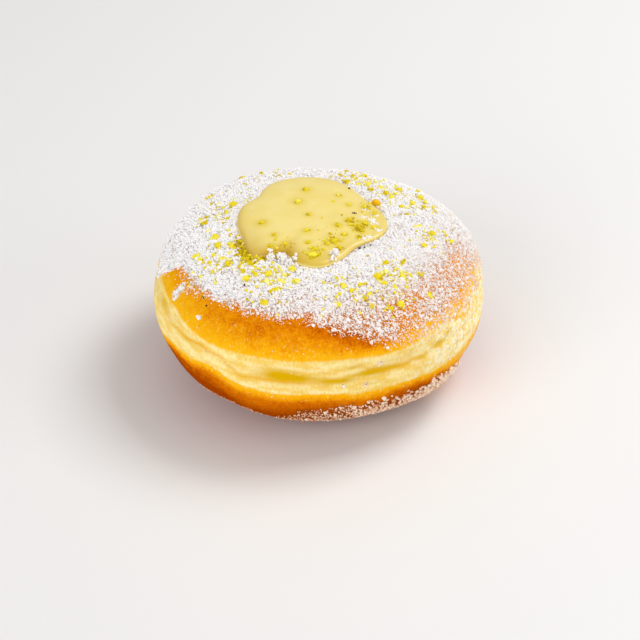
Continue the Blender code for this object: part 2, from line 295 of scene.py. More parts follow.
def bun_profile():
    points = [(0.0, 0.0), (FOOT_RADIUS - FOOT_ROW, 0.0), (FOOT_RADIUS, 0.0)]
    steps = 20000
    for step in range(steps):
        radius, height = bun_side(math.radians(180 * step / steps - 90))
        last_radius, last_height = points[-1]
        row = BAND_ROW if BAND_ROWS[0] < height < BAND_ROWS[1] else FINE_ROW
        beside_foot = height < WAIST and radius < FOOT_RADIUS
        if not beside_foot and math.hypot(radius - last_radius, height - last_height) > row:
            points.append((radius, height))
    return points + [(0.0, BUN_HEIGHT)]


def spun(profile, around):
    body = bmesh.new()
    corners = [body.verts.new((radius, 0, height)) for radius, height in profile]
    edges = [body.edges.new(pair) for pair in zip(corners, corners[1:])]
    bmesh.ops.spin(
        body, geom=corners + edges, cent=(0, 0, 0), axis=(0, 0, 1),
        angle=math.tau, steps=around, use_merge=True,
    )
    bmesh.ops.remove_doubles(body, verts=body.verts, dist=0.001 * MM)
    return body


def sugar_line(angle):
    bare = abs(turn_between(angle, BARE_SIDE) / BARE_SPREAD) ** 3
    return DUST_EDGE + BARE_RISE * math.exp(-bare) + bumps(DUST_EDGE_BUMPS, angle)


def dust_at(point, angle):
    """How much of the skin the sugar covers here, from none to all."""
    height = point.z / MM
    ragged = uneven(DUST_RAGGED, point)
    fade = DUST_FADE + bumps(DUST_FADE_BUMPS, angle)
    share = (height - sugar_line(angle) + DUST_BELOW + ragged) / fade
    share = min(max(share, 0.0), 1.0)
    share *= 1 + bumps(DUST_THIN, angle) * smooth((DUST_THIN_TOP - height) / DUST_THIN_FADE)
    patch = 0.0
    for side, level, size in DUST_PATCHES:
        across = math.radians(turn_between(angle, side)) * math.hypot(point.x, point.y) / MM
        patch = max(patch, 1 - math.hypot(across, height - level) / size + PATCH_RAGGED * ragged)
    return max(share, smooth(patch * PATCH_FILL))


def cake_top(angle):
    return CAKE_TOP + CAKE_RISE * plateau(angle, CAKE_SIDE, CAKE_SPREAD)


def cake_at(point, angle):
    """How thickly the sugar is caked on the belly here."""
    height = point.z / MM
    top = cake_top(angle) + bumps(CAKE_BUMPS, angle)
    ragged = uneven(CAKE_RAGGED, point)
    span = smooth((angle % 360 - CAKE_START[0]) / CAKE_START[1])
    span *= smooth((CAKE_END[0] - angle % 360) / CAKE_END[1])
    reached = smooth((top - height + ragged) / CAKE_TOP_FADE)
    return span * reached * smooth((height - CAKE_LOW) / CAKE_LOW_FADE)


def frost_at(point, angle):
    """How much fine sugar has settled on the band here: only on the right."""
    height = point.z / MM
    side = plateau(angle, *FROST_SIDE)
    low, fade = FROST_LOW
    on_band = smooth((height - low - bumps(BAND_LOW_BUMPS, angle)) / fade)
    low, fade = FROST_TRACE_LOW
    below = FROST_TRACE * smooth((height - low) / fade) * towards(angle, *FROST_TRACE_SIDE)
    top, fade = FROST_TOP
    return side * max(on_band, below) * smooth((top - height) / fade)


def thin_at(point, angle):
    """1 where the sugar is so thin that the crust's brown shows between its grains."""
    top, fade = THIN_TOP
    return plateau(angle, *THIN_SIDE) * smooth((top - point.z / MM) / fade)


def browned(least, steps, away):
    return sum((share * smooth((away - start) / over) for share, start, over in steps), least)


def skin_marks(point):
    """What the skin is like at a point of the bun, a value for each of SKIN_MARKS."""
    angle = direction(point.x, point.y)
    height = point.z / MM
    wander = uneven(BAND_WANDER, point)
    top = BAND_TOP + bumps(BAND_TOP_BUMPS, angle) + wander
    low = BAND_LOW + bumps(BAND_LOW_BUMPS, angle) + wander
    pale = smooth((height - low + BAND_LOW_SOFT) / (2 * BAND_LOW_SOFT))
    pale *= smooth((top - height + BAND_TOP_SOFT) / (2 * BAND_TOP_SOFT))
    if height > WAIST / MM:
        brown = browned(0, BROWN_ABOVE, height - top)
        brown += bumps(BROWN_ABOVE_BUMPS, angle) * smooth((height - top) / BROWN_ABOVE_FADE)
        start, over = BROWN_BY_SUGAR
        near_sugar = smooth((height - sugar_line(angle) + start) / over)
        brown += bumps(BROWN_BY_SUGAR_BUMPS, angle) * near_sugar
    else:
        brown = browned(BROWN_LEAST, BROWN_BELOW, low - height)
        brown += bumps(BROWN_BELOW_BUMPS, angle) * smooth((low - height) / BROWN_BELOW_FADE)
    wobble = uneven(FOLD_WOBBLE, point)
    dent = dent_shade(angle, height + DENT_WOBBLE * wobble)
    # Painted shade in the dents and creases.
    fold = max(dent, CREASE_SHADE * crease_depth(angle, point.z) / MM)
    line = line_strength(angle, height + wobble)
    return (
        dust_at(point, angle), pale, max(brown, 0.0), fold, line,
        cake_at(point, angle), frost_at(point, angle), thin_at(point, angle),
    )


SKIN_MARKS = ("dust", "pale", "brown", "fold", "line", "cake", "frost", "thin")


def shaped(point):
    """A turned point moved to the risen dough's own shape."""
    radius = math.hypot(point.x, point.y)
    if radius == 0:
        return point.copy()
    angle = direction(point.x, point.y)
    above = smooth((point.z - WAIST) / (BUN_HEIGHT - WAIST))
    below = smooth((WAIST - point.z) / WAIST)
    swell = above * lobes(CROWN_LOBES, angle) + below * lobes(BELLY_LOBES, angle)
    new_radius = radius * (1 + swell + bulge(angle, point.z)) - crease_depth(angle, point.z)
    return Vector((point.x * new_radius / radius, point.y * new_radius / radius, point.z))


def faces_in_order(body):
    """Each face from its lowest corner, and the faces sorted, so that every run gives the same mesh."""
    body.verts.index_update()
    rings = [[corner.index for corner in face.verts] for face in body.faces]
    starts = [ring.index(min(ring)) for ring in rings]
    return sorted(ring[start:] + ring[:start] for ring, start in zip(rings, starts))


def in_scene(name, data):
    """A new object in the scene, for a mesh, a light or a camera."""
    thing = bpy.data.objects.new(name, data)
    bpy.context.scene.collection.objects.link(thing)
    return thing


def add_mesh_object(name, body, material):
    mesh = bpy.data.meshes.new(name)
    mesh.from_pydata([corner.co[:] for corner in body.verts], [], faces_in_order(body))
    body.free()
    mesh.materials.append(material)
    return in_scene(name, mesh)


def mark_points(piece, marks):
    """Keep one value for each point under each name, for the material to read."""
    for name, values in marks.items():
        piece.data.attributes.new(name, "FLOAT", "POINT").data.foreach_set("value", values)


def colour(red, green, blue):
    """A colour as the eye reads it, 0 to 255, in the light's own linear scale."""
    linear = [((c / 255 + 0.055) / 1.055) ** 2.4 if c > 10.31 else c / 3294.6 for c in (red, green, blue)]
    return (*linear, 1.0)


def new_material(name):
    material = bpy.data.materials.new(name)
    material.use_nodes = True
    tree = material.node_tree
    return material, tree, tree.nodes["Principled BSDF"]


def socket(tree, target, value):
    """Set an input to a number or a colour, or link it to another node's output."""
    if isinstance(value, bpy.types.NodeSocket):
        tree.links.new(value, target)
    else:
        target.default_value = value


def set_inputs(tree, node, values):
    """Set or link a node's inputs by their names."""
    for name, value in values.items():
        socket(tree, node.inputs[name], value)


def math_node(tree, operation, *values, clamp=False):
    node = tree.nodes.new("ShaderNodeMath")
    node.operation = operation
    node.use_clamp = clamp
    for target, value in zip(node.inputs, values):
        socket(tree, target, value)
    return node.outputs[0]


def mixed(tree, share, first, second):
    """Two colours mixed, which go into a Mix node's inputs 6 and 7."""
    node = tree.nodes.new("ShaderNodeMix")
    node.data_type = "RGBA"
    socket(tree, node.inputs["Factor"], share)
    socket(tree, node.inputs[6], first)
    socket(tree, node.inputs[7], second)
    return node.outputs[2]


def ranged(tree, value, low, high, to_low=0.0, to_high=1.0):
    node = tree.nodes.new("ShaderNodeMapRange")
    node.interpolation_type = "SMOOTHSTEP"
    for target, given in zip(node.inputs, (value, low, high, to_low, to_high)):
        socket(tree, target, given)
    return node.outputs[0]


def ramp(tree, value, stops):
    """A colour for a value between 0 and 1, from (place, colour) stops."""
    node = tree.nodes.new("ShaderNodeValToRGB")
    elements = node.color_ramp.elements
    for place, _ in stops[1:-1]:
        elements.new(place)
    for element, (place, tint) in zip(elements, stops):
        element.position = place
        element.color = tint
    socket(tree, node.inputs[0], value)
    return node.outputs["Color"]


def speckle_group():
    """Fine unevenness, coarse and fine together, about 0.5 in the middle. Size is in metres, and
    Upright is how many times as tall as wide its spots are."""
    group = bpy.data.node_groups.new("speckle", "ShaderNodeTree")
    for name, usual in (("Size", MM), ("Roughness", 0.6), ("Upright", 1.0)):
        entry = group.interface.new_socket(name, in_out="INPUT", socket_type="NodeSocketFloat")
        entry.default_value = usual
    group.interface.new_socket("Value", in_out="OUTPUT", socket_type="NodeSocketFloat")
    entry, leave = group.nodes.new("NodeGroupInput"), group.nodes.new("NodeGroupOutput")
    place = group.nodes.new("ShaderNodeTexCoord")
    squeeze = group.nodes.new("ShaderNodeCombineXYZ")
    shorter = math_node(group, "DIVIDE", 1.0, entry.outputs["Upright"])
    set_inputs(group, squeeze, {"X": 1.0, "Y": 1.0, "Z": shorter})
    shape = group.nodes.new("ShaderNodeVectorMath")
    shape.operation = "MULTIPLY"
    socket(group, shape.inputs[0], place.outputs["Object"])
    socket(group, shape.inputs[1], squeeze.outputs["Vector"])
    grain = group.nodes.new("ShaderNodeTexNoise")
    set_inputs(group, grain, {
        "Detail": 3.0,
        "Vector": shape.outputs["Vector"],
        "Scale": math_node(group, "DIVIDE", 1.0, entry.outputs["Size"]),
        "Roughness": entry.outputs["Roughness"],
    })
    socket(group, leave.inputs["Value"], grain.outputs["Fac"])
    return group


SPECKLE = speckle_group()


def speckle(tree, size, roughness=0.6, upright=1.0):
    node = tree.nodes.new("ShaderNodeGroup")
    node.node_tree = SPECKLE
    set_inputs(tree, node, {"Size": size, "Roughness": roughness, "Upright": upright})
    return node.outputs["Value"]


def mark(tree, name):
    node = tree.nodes.new("ShaderNodeAttribute")
    node.attribute_name = name
    return node.outputs["Fac"]


def bumped(tree, shader, height, distance):
    node = tree.nodes.new("ShaderNodeBump")
    set_inputs(tree, node, {"Distance": distance, "Height": height})
    tree.links.new(node.outputs["Normal"], shader.inputs["Normal"])


CRUST_RAMP = (
    (0.00, colour(255, 188, 24)),
    (0.25, colour(250, 172, 14)),
    (0.50, colour(236, 144, 6)),
    (0.75, colour(210, 108, 4)),
    (1.00, colour(164, 66, 0)),
)
BAND_COLOUR = colour(255, 233, 164)
PORE_COLOUR = colour(247, 208, 104)
# Painted shade in the band's dents and creases, and along its fold lines.
DENT_SHADE_COLOUR = colour(222, 176, 4)
LINE_SHADE_COLOUR = colour(236, 176, 30)
FLECK_COLOUR = colour(255, 214, 104)
FROST_COLOUR = colour(255, 247, 216)
SUGAR_COLOUR = colour(252, 251, 248)
# Painted shade in the gaps between the sugar grains, paler and deeper.
THICK_GAP_SHADE_COLOUR = colour(216, 208, 210)
DEEP_GAP_SHADE_COLOUR = colour(168, 140, 128)
THIN_GAP_COLOUR = colour(212, 126, 22)
CAKE_COLOUR = colour(148, 72, 14)

# The patterns in the skin, each a speckle's size, roughness and how many times as tall as wide.
BLOTCHES = (2.4 * MM,)
FINE_MOTTLE = (0.6 * MM, 0.7)
CRUST_STREAKS = (0.55 * MM, 0.6, 3.0)
FLECKS = (0.6 * MM, 0.5, 2.2)
BAND_ROLLS = (6.0 * MM, 0.5, 0.3)
BAND_PORES = (0.6 * MM, 0.6, 2.6)
FROST_PATCHES = (1.7 * MM, 0.75)
POWDER = (0.5 * MM, 0.75)
POWDER_DRIFTS = (2.2 * MM,)
POWDER_GAPS = (0.5 * MM, 0.7)

# How much of each pattern shows, and between which of its values it comes in.
BLOTCH_SHARE, MOTTLE_SHARE, STREAK_SHARE = 0.6, 0.5, 0.45
CALM_BELOW = 0.5
FLECK_RANGE, FLECK_SHARE = (0.58, 0.70), 0.6
FLECKED_CRUST = (0.8, 0.2)
ROLL_SHARE, PORE_SHARE = 0.6, 0.4
PORE_RANGE = (0.40, 0.60)
LINE_SHARE = 0.85
FROST_RANGE, FROST_SHARE = (0.46, 0.58), 0.85
FROSTED_FOLDS = (0.6, 0.1)
EDGE_STREAKS, EDGE_BLOTCHES = 0.9, 0.6
BAND_EDGE_RANGE = (0.28, 0.82)
CAKE_SHARE = 0.9
POWDER_SHARE, DRIFT_SHARE = 0.7, 0.3
COVER_LEAST, COVER_BY_DUST, COVER_BY_THIN = 0.29, 0.26, -0.09
COVER_EDGE = 0.014
# Where the painted shade in the sugar's gaps is deep, and how much of it shows where the coat is thick.
DEEP_GAP_RANGE = (0.54, 0.62)
GAP_DUST_RANGE, GAP_SHARE = (0.45, 1.0), 0.85
BARE_ROUGHNESS, SUGARED_ROUGHNESS = 0.45, 0.95
SKIN_RELIEF = 0.2 * MM
DOUGH_FINISH = {
    "Specular IOR Level": 0.0,
    "Subsurface Weight": 0.15,
    "Subsurface Radius": (1.0, 0.45, 0.1),
    "Subsurface Scale": 2.0 * MM,
}


def crust_tint(tree, blotch, fine, streak):
    """The fried crust: mottled, calmer near the foot, with pale flecks where it is brown."""
    mottle = math_node(tree, "MULTIPLY", blotch, BLOTCH_SHARE)
    mottle = math_node(tree, "MULTIPLY_ADD", fine, MOTTLE_SHARE, mottle)
    mottle = math_node(tree, "MULTIPLY_ADD", streak, STREAK_SHARE, mottle)
    where = tree.nodes.new("ShaderNodeSeparateXYZ")
    set_inputs(tree, where, {"Vector": tree.nodes.new("ShaderNodeTexCoord").outputs["Object"]})
    calm = ranged(tree, where.outputs["Z"], 0.6 * WAIST, WAIST, CALM_BELOW, 1.0)
    mottle = math_node(tree, "MULTIPLY", mottle, calm)
    tone = math_node(tree, "ADD", mark(tree, "brown"), mottle, clamp=True)
    crust = ramp(tree, tone, CRUST_RAMP)
    flecks = ranged(tree, speckle(tree, *FLECKS), *FLECK_RANGE, 0.0, FLECK_SHARE)
    flecked = ranged(tree, mark(tree, "brown"), *FLECKED_CRUST)
    flecks = math_node(tree, "MULTIPLY", flecks, flecked)
    return mixed(tree, flecks, crust, FLECK_COLOUR)


def band_tint(tree):
    """The pale band, with its pores, and painted shade in its soft dents, its creases and along its fold
    lines.
    """
    rolls = math_node(tree, "MULTIPLY", speckle(tree, *BAND_ROLLS), ROLL_SHARE)
    rolls = math_node(tree, "MULTIPLY_ADD", speckle(tree, *BAND_PORES), PORE_SHARE, rolls)
    band = mixed(tree, ranged(tree, rolls, *PORE_RANGE), BAND_COLOUR, PORE_COLOUR)
    band = mixed(tree, mark(tree, "fold"), band, DENT_SHADE_COLOUR)
    in_line = math_node(tree, "MULTIPLY", mark(tree, "line"), LINE_SHARE, clamp=True)
    return mixed(tree, in_line, band, LINE_SHADE_COLOUR)


def frost_share(tree):
    """How much the fine frost of sugar covers: it lies in patches and keeps out of the folds."""
    frosted = ranged(tree, speckle(tree, *FROST_PATCHES), *FROST_RANGE, 0.0, FROST_SHARE)
    frosted = math_node(tree, "MULTIPLY", frosted, mark(tree, "frost"))
    out_of_folds = ranged(tree, mark(tree, "fold"), *FROSTED_FOLDS)
    return math_node(tree, "MULTIPLY", frosted, out_of_folds)


def powder_cover(tree):
    """1 under the powder of the sugar coat, and 0 in the gaps of it."""
    powder = math_node(tree, "MULTIPLY", speckle(tree, *POWDER), POWDER_SHARE)
    powder = math_node(tree, "MULTIPLY_ADD", speckle(tree, *POWDER_DRIFTS), DRIFT_SHARE, powder)
    reach = math_node(tree, "MULTIPLY_ADD", mark(tree, "dust"), COVER_BY_DUST, COVER_LEAST)
    reach = math_node(tree, "MULTIPLY_ADD", mark(tree, "thin"), COVER_BY_THIN, reach)
    reach = math_node(tree, "SUBTRACT", reach, powder)
    return ranged(tree, reach, -COVER_EDGE, COVER_EDGE)


def gap_shade_and_crust(tree):
    """What shows in those gaps: painted shade between the grains, and the crust where the coat is thin."""
    deep = ranged(tree, speckle(tree, *POWDER_GAPS), *DEEP_GAP_RANGE)
    gap = mixed(tree, deep, THICK_GAP_SHADE_COLOUR, DEEP_GAP_SHADE_COLOUR)
    return mixed(tree, mark(tree, "thin"), gap, THIN_GAP_COLOUR)


def dough_material():
    material, tree, shader = new_material("dough")
    blotch, fine, streak = (
        math_node(tree, "SUBTRACT", speckle(tree, *pattern), 0.5)
        for pattern in (BLOTCHES, FINE_MOTTLE, CRUST_STREAKS)
    )
    edge = math_node(tree, "MULTIPLY_ADD", streak, EDGE_STREAKS, mark(tree, "pale"))
    edge = math_node(tree, "MULTIPLY_ADD", blotch, EDGE_BLOTCHES, edge)
    in_band = ranged(tree, edge, *BAND_EDGE_RANGE)
    skin = mixed(tree, in_band, crust_tint(tree, blotch, fine, streak), band_tint(tree))
    skin = mixed(tree, frost_share(tree), skin, FROST_COLOUR)
    caked = math_node(tree, "MULTIPLY", mark(tree, "cake"), CAKE_SHARE)
    skin = mixed(tree, caked, skin, CAKE_COLOUR)
    # Where the coat is thick, its gaps get painted shade.
    thick = ranged(tree, mark(tree, "dust"), *GAP_DUST_RANGE, 0.0, GAP_SHARE)
    under = mixed(tree, thick, skin, gap_shade_and_crust(tree))
    cover = powder_cover(tree)
    set_inputs(tree, shader, {
        "Base Color": mixed(tree, cover, under, SUGAR_COLOUR),
        "Roughness": ranged(tree, cover, 0.0, 1.0, BARE_ROUGHNESS, SUGARED_ROUGHNESS),
        **DOUGH_FINISH,
    })
    bumped(tree, shader, math_node(tree, "MULTIPLY_ADD", cover, 1.0, fine), SKIN_RELIEF)
    return material


def build_dough():
    body = spun(bun_profile(), AROUND_BUN)
    marks = {name: [] for name in SKIN_MARKS}
    for vert in body.verts:
        point = shaped(vert.co)
        values = skin_marks(point)
        for name, value in zip(marks, values):
            marks[name].append(value)
        dust, pale, line = values[0], values[1], values[4]
        outward = Vector((point.x, point.y, 0.5 * (point.z - WAIST))).normalized()
        along = Vector((point.x / BAND_GRAIN_LONG, point.y / BAND_GRAIN_LONG, point.z))
        lift = (uneven(SKIN_SWELL, point) - SKIN_SINK) * MM
        lift += pale * BAND_GRAIN * MM * noise.noise(along / MM)
        lift -= pale * line * LINE_DEPTH
        lift += dust * MM * (uneven(SUGAR_COAT, point) - SUGAR_COAT_SINK)
        vert.co = point + outward * lift if point.z > FLAT_FOOT else point
    bmesh.ops.recalc_face_normals(body, faces=body.faces)
    dough = add_mesh_object("dough_skin", body, dough_material())
    mark_points(dough, marks)
    dough.data.shade_smooth()
    return dough


dough = build_dough()
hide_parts("dough")
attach(dough, "root")


# The pistachio cream: a soft, smooth filling piped over the top, where it settled into a pool with
# a thin lip round a rounded shoulder. It is a little thinner on the right.
CREAM_CENTRE = (-1.3 * MM, 0.8 * MM)
CREAM_REACH = 21.6 * MM
CREAM_LOBES = (
    (101, 4.4, 56),
    (140, -2.5, 12),
    (226, 3.1, 15),
    (241, -4.4, 13),
    (273, 1.5, 15),
    (315, -4.0, 23),
    (41, -3.0, 29),
)
CREAM_DEPTH = 2.4 * MM
CREAM_RIM = 0.6 * MM
CREAM_LIP = 0.35 * MM
CREAM_SHOULDER = 1.6 * MM
CREAM_SHOULDER_SHARE = 0.76
CREAM_LEVEL = 11.0 * MM
CREAM_THIN_SIDE = 340
CREAM_THINNER = 0.35
AROUND_CREAM = 360

# The pool's section runs from its middle underneath, out round its edge and back over its top, as
# shares of its reach and of its thickness.
CREAM_TUCK = ((0.0, 0.0), (0.5, 0.0), (0.9, 0.0), (0.975, 0.0), (0.990, 0.10), (0.998, 0.32))
CREAM_EDGE = ((1.0, 0.55), (0.997, 0.78), (0.991, 0.92), (0.984, 1.0))
CREAM_OVER = tuple((0.984 * (1 - (step / 56) ** 1.6), 1.0) for step in range(1, 57))

# The lip is widest at the front. The pool's top is a little uneven, most on the right, and was drawn
# out in small ripples at the front left. Sides are directions with a half width in degrees.
LIP_LEAST = 0.2
LIP_SIDE = (245, 34)
CREAM_UNEVEN = (0.10, 8 * MM)
CREAM_DRAGGED = (0.09, 2.2 * MM)
CREAM_DRAGGED_SIDE = (350, 40)
RIPPLE_SIDE = (236, 16)
RIPPLE_RISE = 0.09
RIPPLE_APART = 1.5 * MM
RIPPLE_MIDDLE, RIPPLE_REACH = 3.4, 1.3

# The painted shade on the pool's slope, an olive colour deepest at the front left, and the side whose lip
# has painted shade too.
SLOPE_FRONT = (250, 45)
SLOPE_FRONT_STRENGTH = 0.95
SLOPE_FRONT_REACH = 4.5 * MM
SLOPE_EDGE_STRENGTH = 0.5
SLOPE_EDGE_REACH = 2.6 * MM
SLOPE_LEAST = 0.35
SLOPE_SIDE = (225, 80)
SHADED_LIP_SIDE = (325, 38)

CREAM_COLOUR = colour(241, 218, 126)
CREAM_CLOUD_COLOUR = colour(246, 225, 142)
# Painted shade: the olive colour laid on the pool's slope where it turns from the light.
CREAM_SLOPE_SHADE_COLOUR = colour(200, 158, 2)
CREAM_STAIN_COLOUR = colour(226, 202, 44)
CREAM_CLOUDS = (8 * MM, 0.5)
CLOUD_RANGE = (0.3, 0.7)
CREAM_GRAIN = (3.0 * MM, 0.4)
CREAM_RELIEF = 0.04 * MM
CREAM_FINISH = {
    "Roughness": 0.3,
    "Specular IOR Level": 0.35,
    "Subsurface Weight": 0.25,
    "Subsurface Radius": (1.0, 0.8, 0.2),
    "Subsurface Scale": 1.8 * MM,
}


def cream_reach(angle):
    return CREAM_REACH + MM * bumps(CREAM_LOBES, angle)


def beyond_cream(x, y):
    across, along = x - CREAM_CENTRE[0], y - CREAM_CENTRE[1]
    return math.hypot(across, along) - cream_reach(direction(across, along))


def round_cream(angle, out):
    """The place this far from the cream's middle, in one direction."""
    return beside(*CREAM_CENTRE, math.radians(angle), out)


def landing(tree, x, y):
    """Where something dropped at x, y lands, and which way the surface faces there."""
    place, normal, _, _ = tree.ray_cast(Vector((x, y, 2 * BUN_HEIGHT)), Vector((0, 0, -1)))
    return place, normal


def bun_height(x, y):
    """The height of the bun's top, without its skin's small unevenness."""
    radius = math.hypot(x, y)
    angle = direction(x, y)
    height = BUN_HEIGHT
    for _ in range(3):
        swell = smooth((height - WAIST) / (BUN_HEIGHT - WAIST)) * lobes(CROWN_LOBES, angle)
        share = min(radius / (1 + swell) / BUN_RADIUS, 1.0)
        height = WAIST + (BUN_HEIGHT - WAIST) * (1 - share ** (2 / CROWN_ROUND[0])) ** (CROWN_ROUND[1] / 2)
    return height


def cream_material():
    material, tree, shader = new_material("cream")
    cloud = ranged(tree, speckle(tree, *CREAM_CLOUDS), *CLOUD_RANGE)
    tone = mixed(tree, cloud, CREAM_COLOUR, CREAM_CLOUD_COLOUR)
    # Painted shade on the pool's slope.
    tone = mixed(tree, mark(tree, "slope"), tone, CREAM_SLOPE_SHADE_COLOUR)
    tone = mixed(tree, mark(tree, "stain"), tone, CREAM_STAIN_COLOUR)
    set_inputs(tree, shader, {"Base Color": tone, **CREAM_FINISH})
    bumped(tree, shader, speckle(tree, *CREAM_GRAIN), CREAM_RELIEF)
    return material


def cream_depth(share, inward, angle, risen):
    """How thick the cream is, from its rim over the shoulder to the level middle."""
    away = math.radians(turn_between(angle, CREAM_THIN_SIDE))
    full = CREAM_DEPTH * (1 - CREAM_THINNER * share * max(math.cos(away), 0.0))
    shoulder = CREAM_SHOULDER_SHARE * full
    return CREAM_RIM + (shoulder - CREAM_RIM) * risen + (full - shoulder) * smooth(inward / CREAM_LEVEL)


def cream_ripple(x, y, inward, angle):
    """How the cream's top rises and falls, in millimetres."""
    place = Vector((x, y, 0))
    rise, size = CREAM_UNEVEN
    ripple = rise * noise.noise(place / size)
    rise, size = CREAM_DRAGGED
    ripple += rise * towards(angle, *CREAM_DRAGGED_SIDE) * noise.noise(place / size)
    drag = towards(angle, *RIPPLE_SIDE) * math.exp(-((inward / MM - RIPPLE_MIDDLE) / RIPPLE_REACH) ** 2)
    return ripple + RIPPLE_RISE * drag * math.cos(math.tau * inward / RIPPLE_APART)


def painted_slope_shade(inward, angle, risen):
    """How deep the painted shade is on the cream's slope here."""
    front = SLOPE_FRONT_STRENGTH * towards(angle, *SLOPE_FRONT)
    front *= math.exp(-((inward / SLOPE_FRONT_REACH) ** 2))
    edge = SLOPE_EDGE_STRENGTH * math.exp(-((inward / SLOPE_EDGE_REACH) ** 2))
    shade = max((1 - risen) ** 0.5, front, edge)
    shade *= SLOPE_LEAST + (1 - SLOPE_LEAST) * towards(angle, *SLOPE_SIDE)
    off_lip = smooth((inward - 0.4 * CREAM_LIP) / (0.8 * CREAM_LIP))
    return shade * max(towards(angle, *SHADED_LIP_SIDE), off_lip)


def build_cream():
    body = spun(list(CREAM_TUCK + CREAM_EDGE + CREAM_OVER), AROUND_CREAM)
    slope_shades = []
    for vert in body.verts:
        share = math.hypot(vert.co.x, vert.co.y)
        angle = direction(vert.co.x, vert.co.y)
        reach = cream_reach(angle)
        x, y = round_cream(angle, reach * share)
        inward = max(1 - share, 0.0) * reach
        lip = CREAM_LIP * (LIP_LEAST + (1 - LIP_LEAST) * towards(angle, *LIP_SIDE))
        risen = min(max(inward - lip, 0.0) / CREAM_SHOULDER, 1.0)
        risen = (risen * (2 - risen)) ** 0.7
        top = cream_depth(share, inward, angle, risen) + cream_ripple(x, y, inward, angle) * risen * MM
        vert.co = (x, y, bun_height(x, y) + vert.co.z * top)
        # Each point's painted shade on the slope, kept as its slope mark.
        slope_shades.append(painted_slope_shade(inward, angle, risen))
    bmesh.ops.recalc_face_normals(body, faces=body.faces)
    cream = add_mesh_object("cream_pool", body, cream_material())
    mark_points(cream, {"slope": slope_shades})
    cream.data.shade_smooth()
    return cream


cream = build_cream()
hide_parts("cream")
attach(cream, "root")
dough_tree = BVHTree.FromObject(dough, bpy.context.evaluated_depsgraph_get())
cream_tree = BVHTree.FromObject(cream, bpy.context.evaluated_depsgraph_get())


# The powdered sugar: sifted over the bun while it was still warm. It lies as a dense, grainy coat on
# top, thins out down the right side and stops short on the bare front. A few lumps of it lie against
# the cream's edge and on its right part.
GRAIN_COUNT = 24500
GRAIN_SIZES = (0.32 * MM, 0.60 * MM)
GRAIN_RAISED = 0.12
GRAIN_SEED = 3
CLUMP_COUNT = 7800
CLUMP_SIZES = (0.55 * MM, 1.10 * MM)
CLUMP_RAISED = 0.05
CLUMP_SEED = 4
MOSTLY_SMALL = 1.8
BIT_STRETCH = (0.75, 1.2)
SUGAR_SHAPES = 6
SUGAR_ROUGHNESS = 0.25

# Where the grains lie: more of them where the coat is thin, none near the foot, and a few that have
# strayed, most of them on the right of the band. Clumps are fewer where the coat is thin, and both
# stop just under the cream's edge.
GRAINS_EVEN = 0.6
GRAINS_USUAL, GRAINS_MORE_THIN = 0.75, 0.65
GRAINS_LOWEST = 18
STRAYS = 0.003
BAND_STRAYS = 0.10
BAND_STRAYS_SIDE = (332, 20)
BAND_STRAYS_FROM, BAND_STRAYS_TO = 21, 35
CLUMPS_EVEN = 1.2
CLUMPS_FEWER_THIN = 0.35
SIDES_TOP = 30 * MM
UNDER_CREAM = 0.4 * MM
# Painted reflection of the crust in the grains, near the coat's edge and where it is thin.
WARM_AT_EDGE, WARM_WHERE_THIN = 1.1, 0.3
SUGAR_LIGHT_COLOUR = colour(250, 249, 250)
SUGAR_CRUST_REFLECTION_COLOUR = colour(236, 192, 154)
SUGAR_FINISH = {"Roughness": 0.85, "Specular IOR Level": 0.3}

# Lumps are a direction round the cream or a place, with a size. A lump has so many bits to each
# square millimetre of its size, a dab has a few, and banked bits follow the cream's left edge.
GAP = 0.3 * MM
SUGAR_LUMPS = ((236, 2.4), (244, 2.8), (252, 2.0), (330, 2.2), (346, 1.9), (20, 2.2))
CREAM_LUMP = (4.7, -17.4, 2.6)
SMALL_LUMPS = ((-13.4, -16.0, 1.9), (-10.0, -16.6, 1.9), (4.3, -19.3, 1.5), (-6.6, -18.6, 1.4))
LUMP_SEED = 8
LUMP_BITS = 5
LUMP_BIT_SIZES = (0.5, 1.05)
LUMP_RISE = 1.7
DABS = (
    (13.4, 6.3), (13.4, 2.2), (16.0, 3.6), (15.2, 1.0), (16.3, -0.8), (17.3, -4.3), (14.9, -7.6),
    (12.8, -8.3),
)
DAB_BITS = 15
DAB_BIT_SIZES = (0.35, 0.8)
DAB_LONG, DAB_WIDE = 0.7, 0.4
DAB_TURN = 0.5
BANKED_BITS = 520
BANKED_BIT_SIZES = (0.4, 0.8)
BANK_SIDE, BANK_SPREAD = 165, 42
BANK_OUT, BANK_WIDE = 0.1, 0.8
BANK_RISE = 0.45
LUMP_SHAPES = 8
LUMP_ROUGHNESS = 0.28
LUMP_WARMTH = 0.15


def rough_shapes(build, count, roughness, seed):
    """A few differently knocked-about copies of one small solid, as corners and triangles."""
    rng = random.Random(seed)
    shapes = []
    for _ in range(count):
        bit = bmesh.new()
        build(bit)
        for vert in bit.verts:
            vert.co *= 1 + rng.uniform(-roughness, roughness)
        bmesh.ops.triangulate(bit, faces=bit.faces)
        corners = np.array([vert.co[:] for vert in bit.verts])
        faces = np.array([[vert.index for vert in face.verts] for face in bit.faces])
        shapes.append((corners, faces))
        bit.free()
    return shapes


def eight_sided(bit):
    bmesh.ops.create_uvsphere(bit, u_segments=4, v_segments=2, radius=0.5)
    bit.verts.index_update()


def twenty_sided(bit):
    bmesh.ops.create_icosphere(bit, subdivisions=1, radius=0.5)


def random_turns(rng, count):
    """Evenly spread random rotations, as matrices."""
    turn = rng.normal(size=(count, 4))
    w, x, y, z = (turn / np.linalg.norm(turn, axis=1)[:, None]).T
    rows = [
        [1 - 2 * (y * y + z * z), 2 * (x * y - z * w), 2 * (x * z + y * w)],
        [2 * (x * y + z * w), 1 - 2 * (x * x + z * z), 2 * (y * z - x * w)],
        [2 * (x * z - y * w), 2 * (y * z + x * w), 1 - 2 * (x * x + y * y)],
    ]
    return np.array(rows).transpose(2, 0, 1)


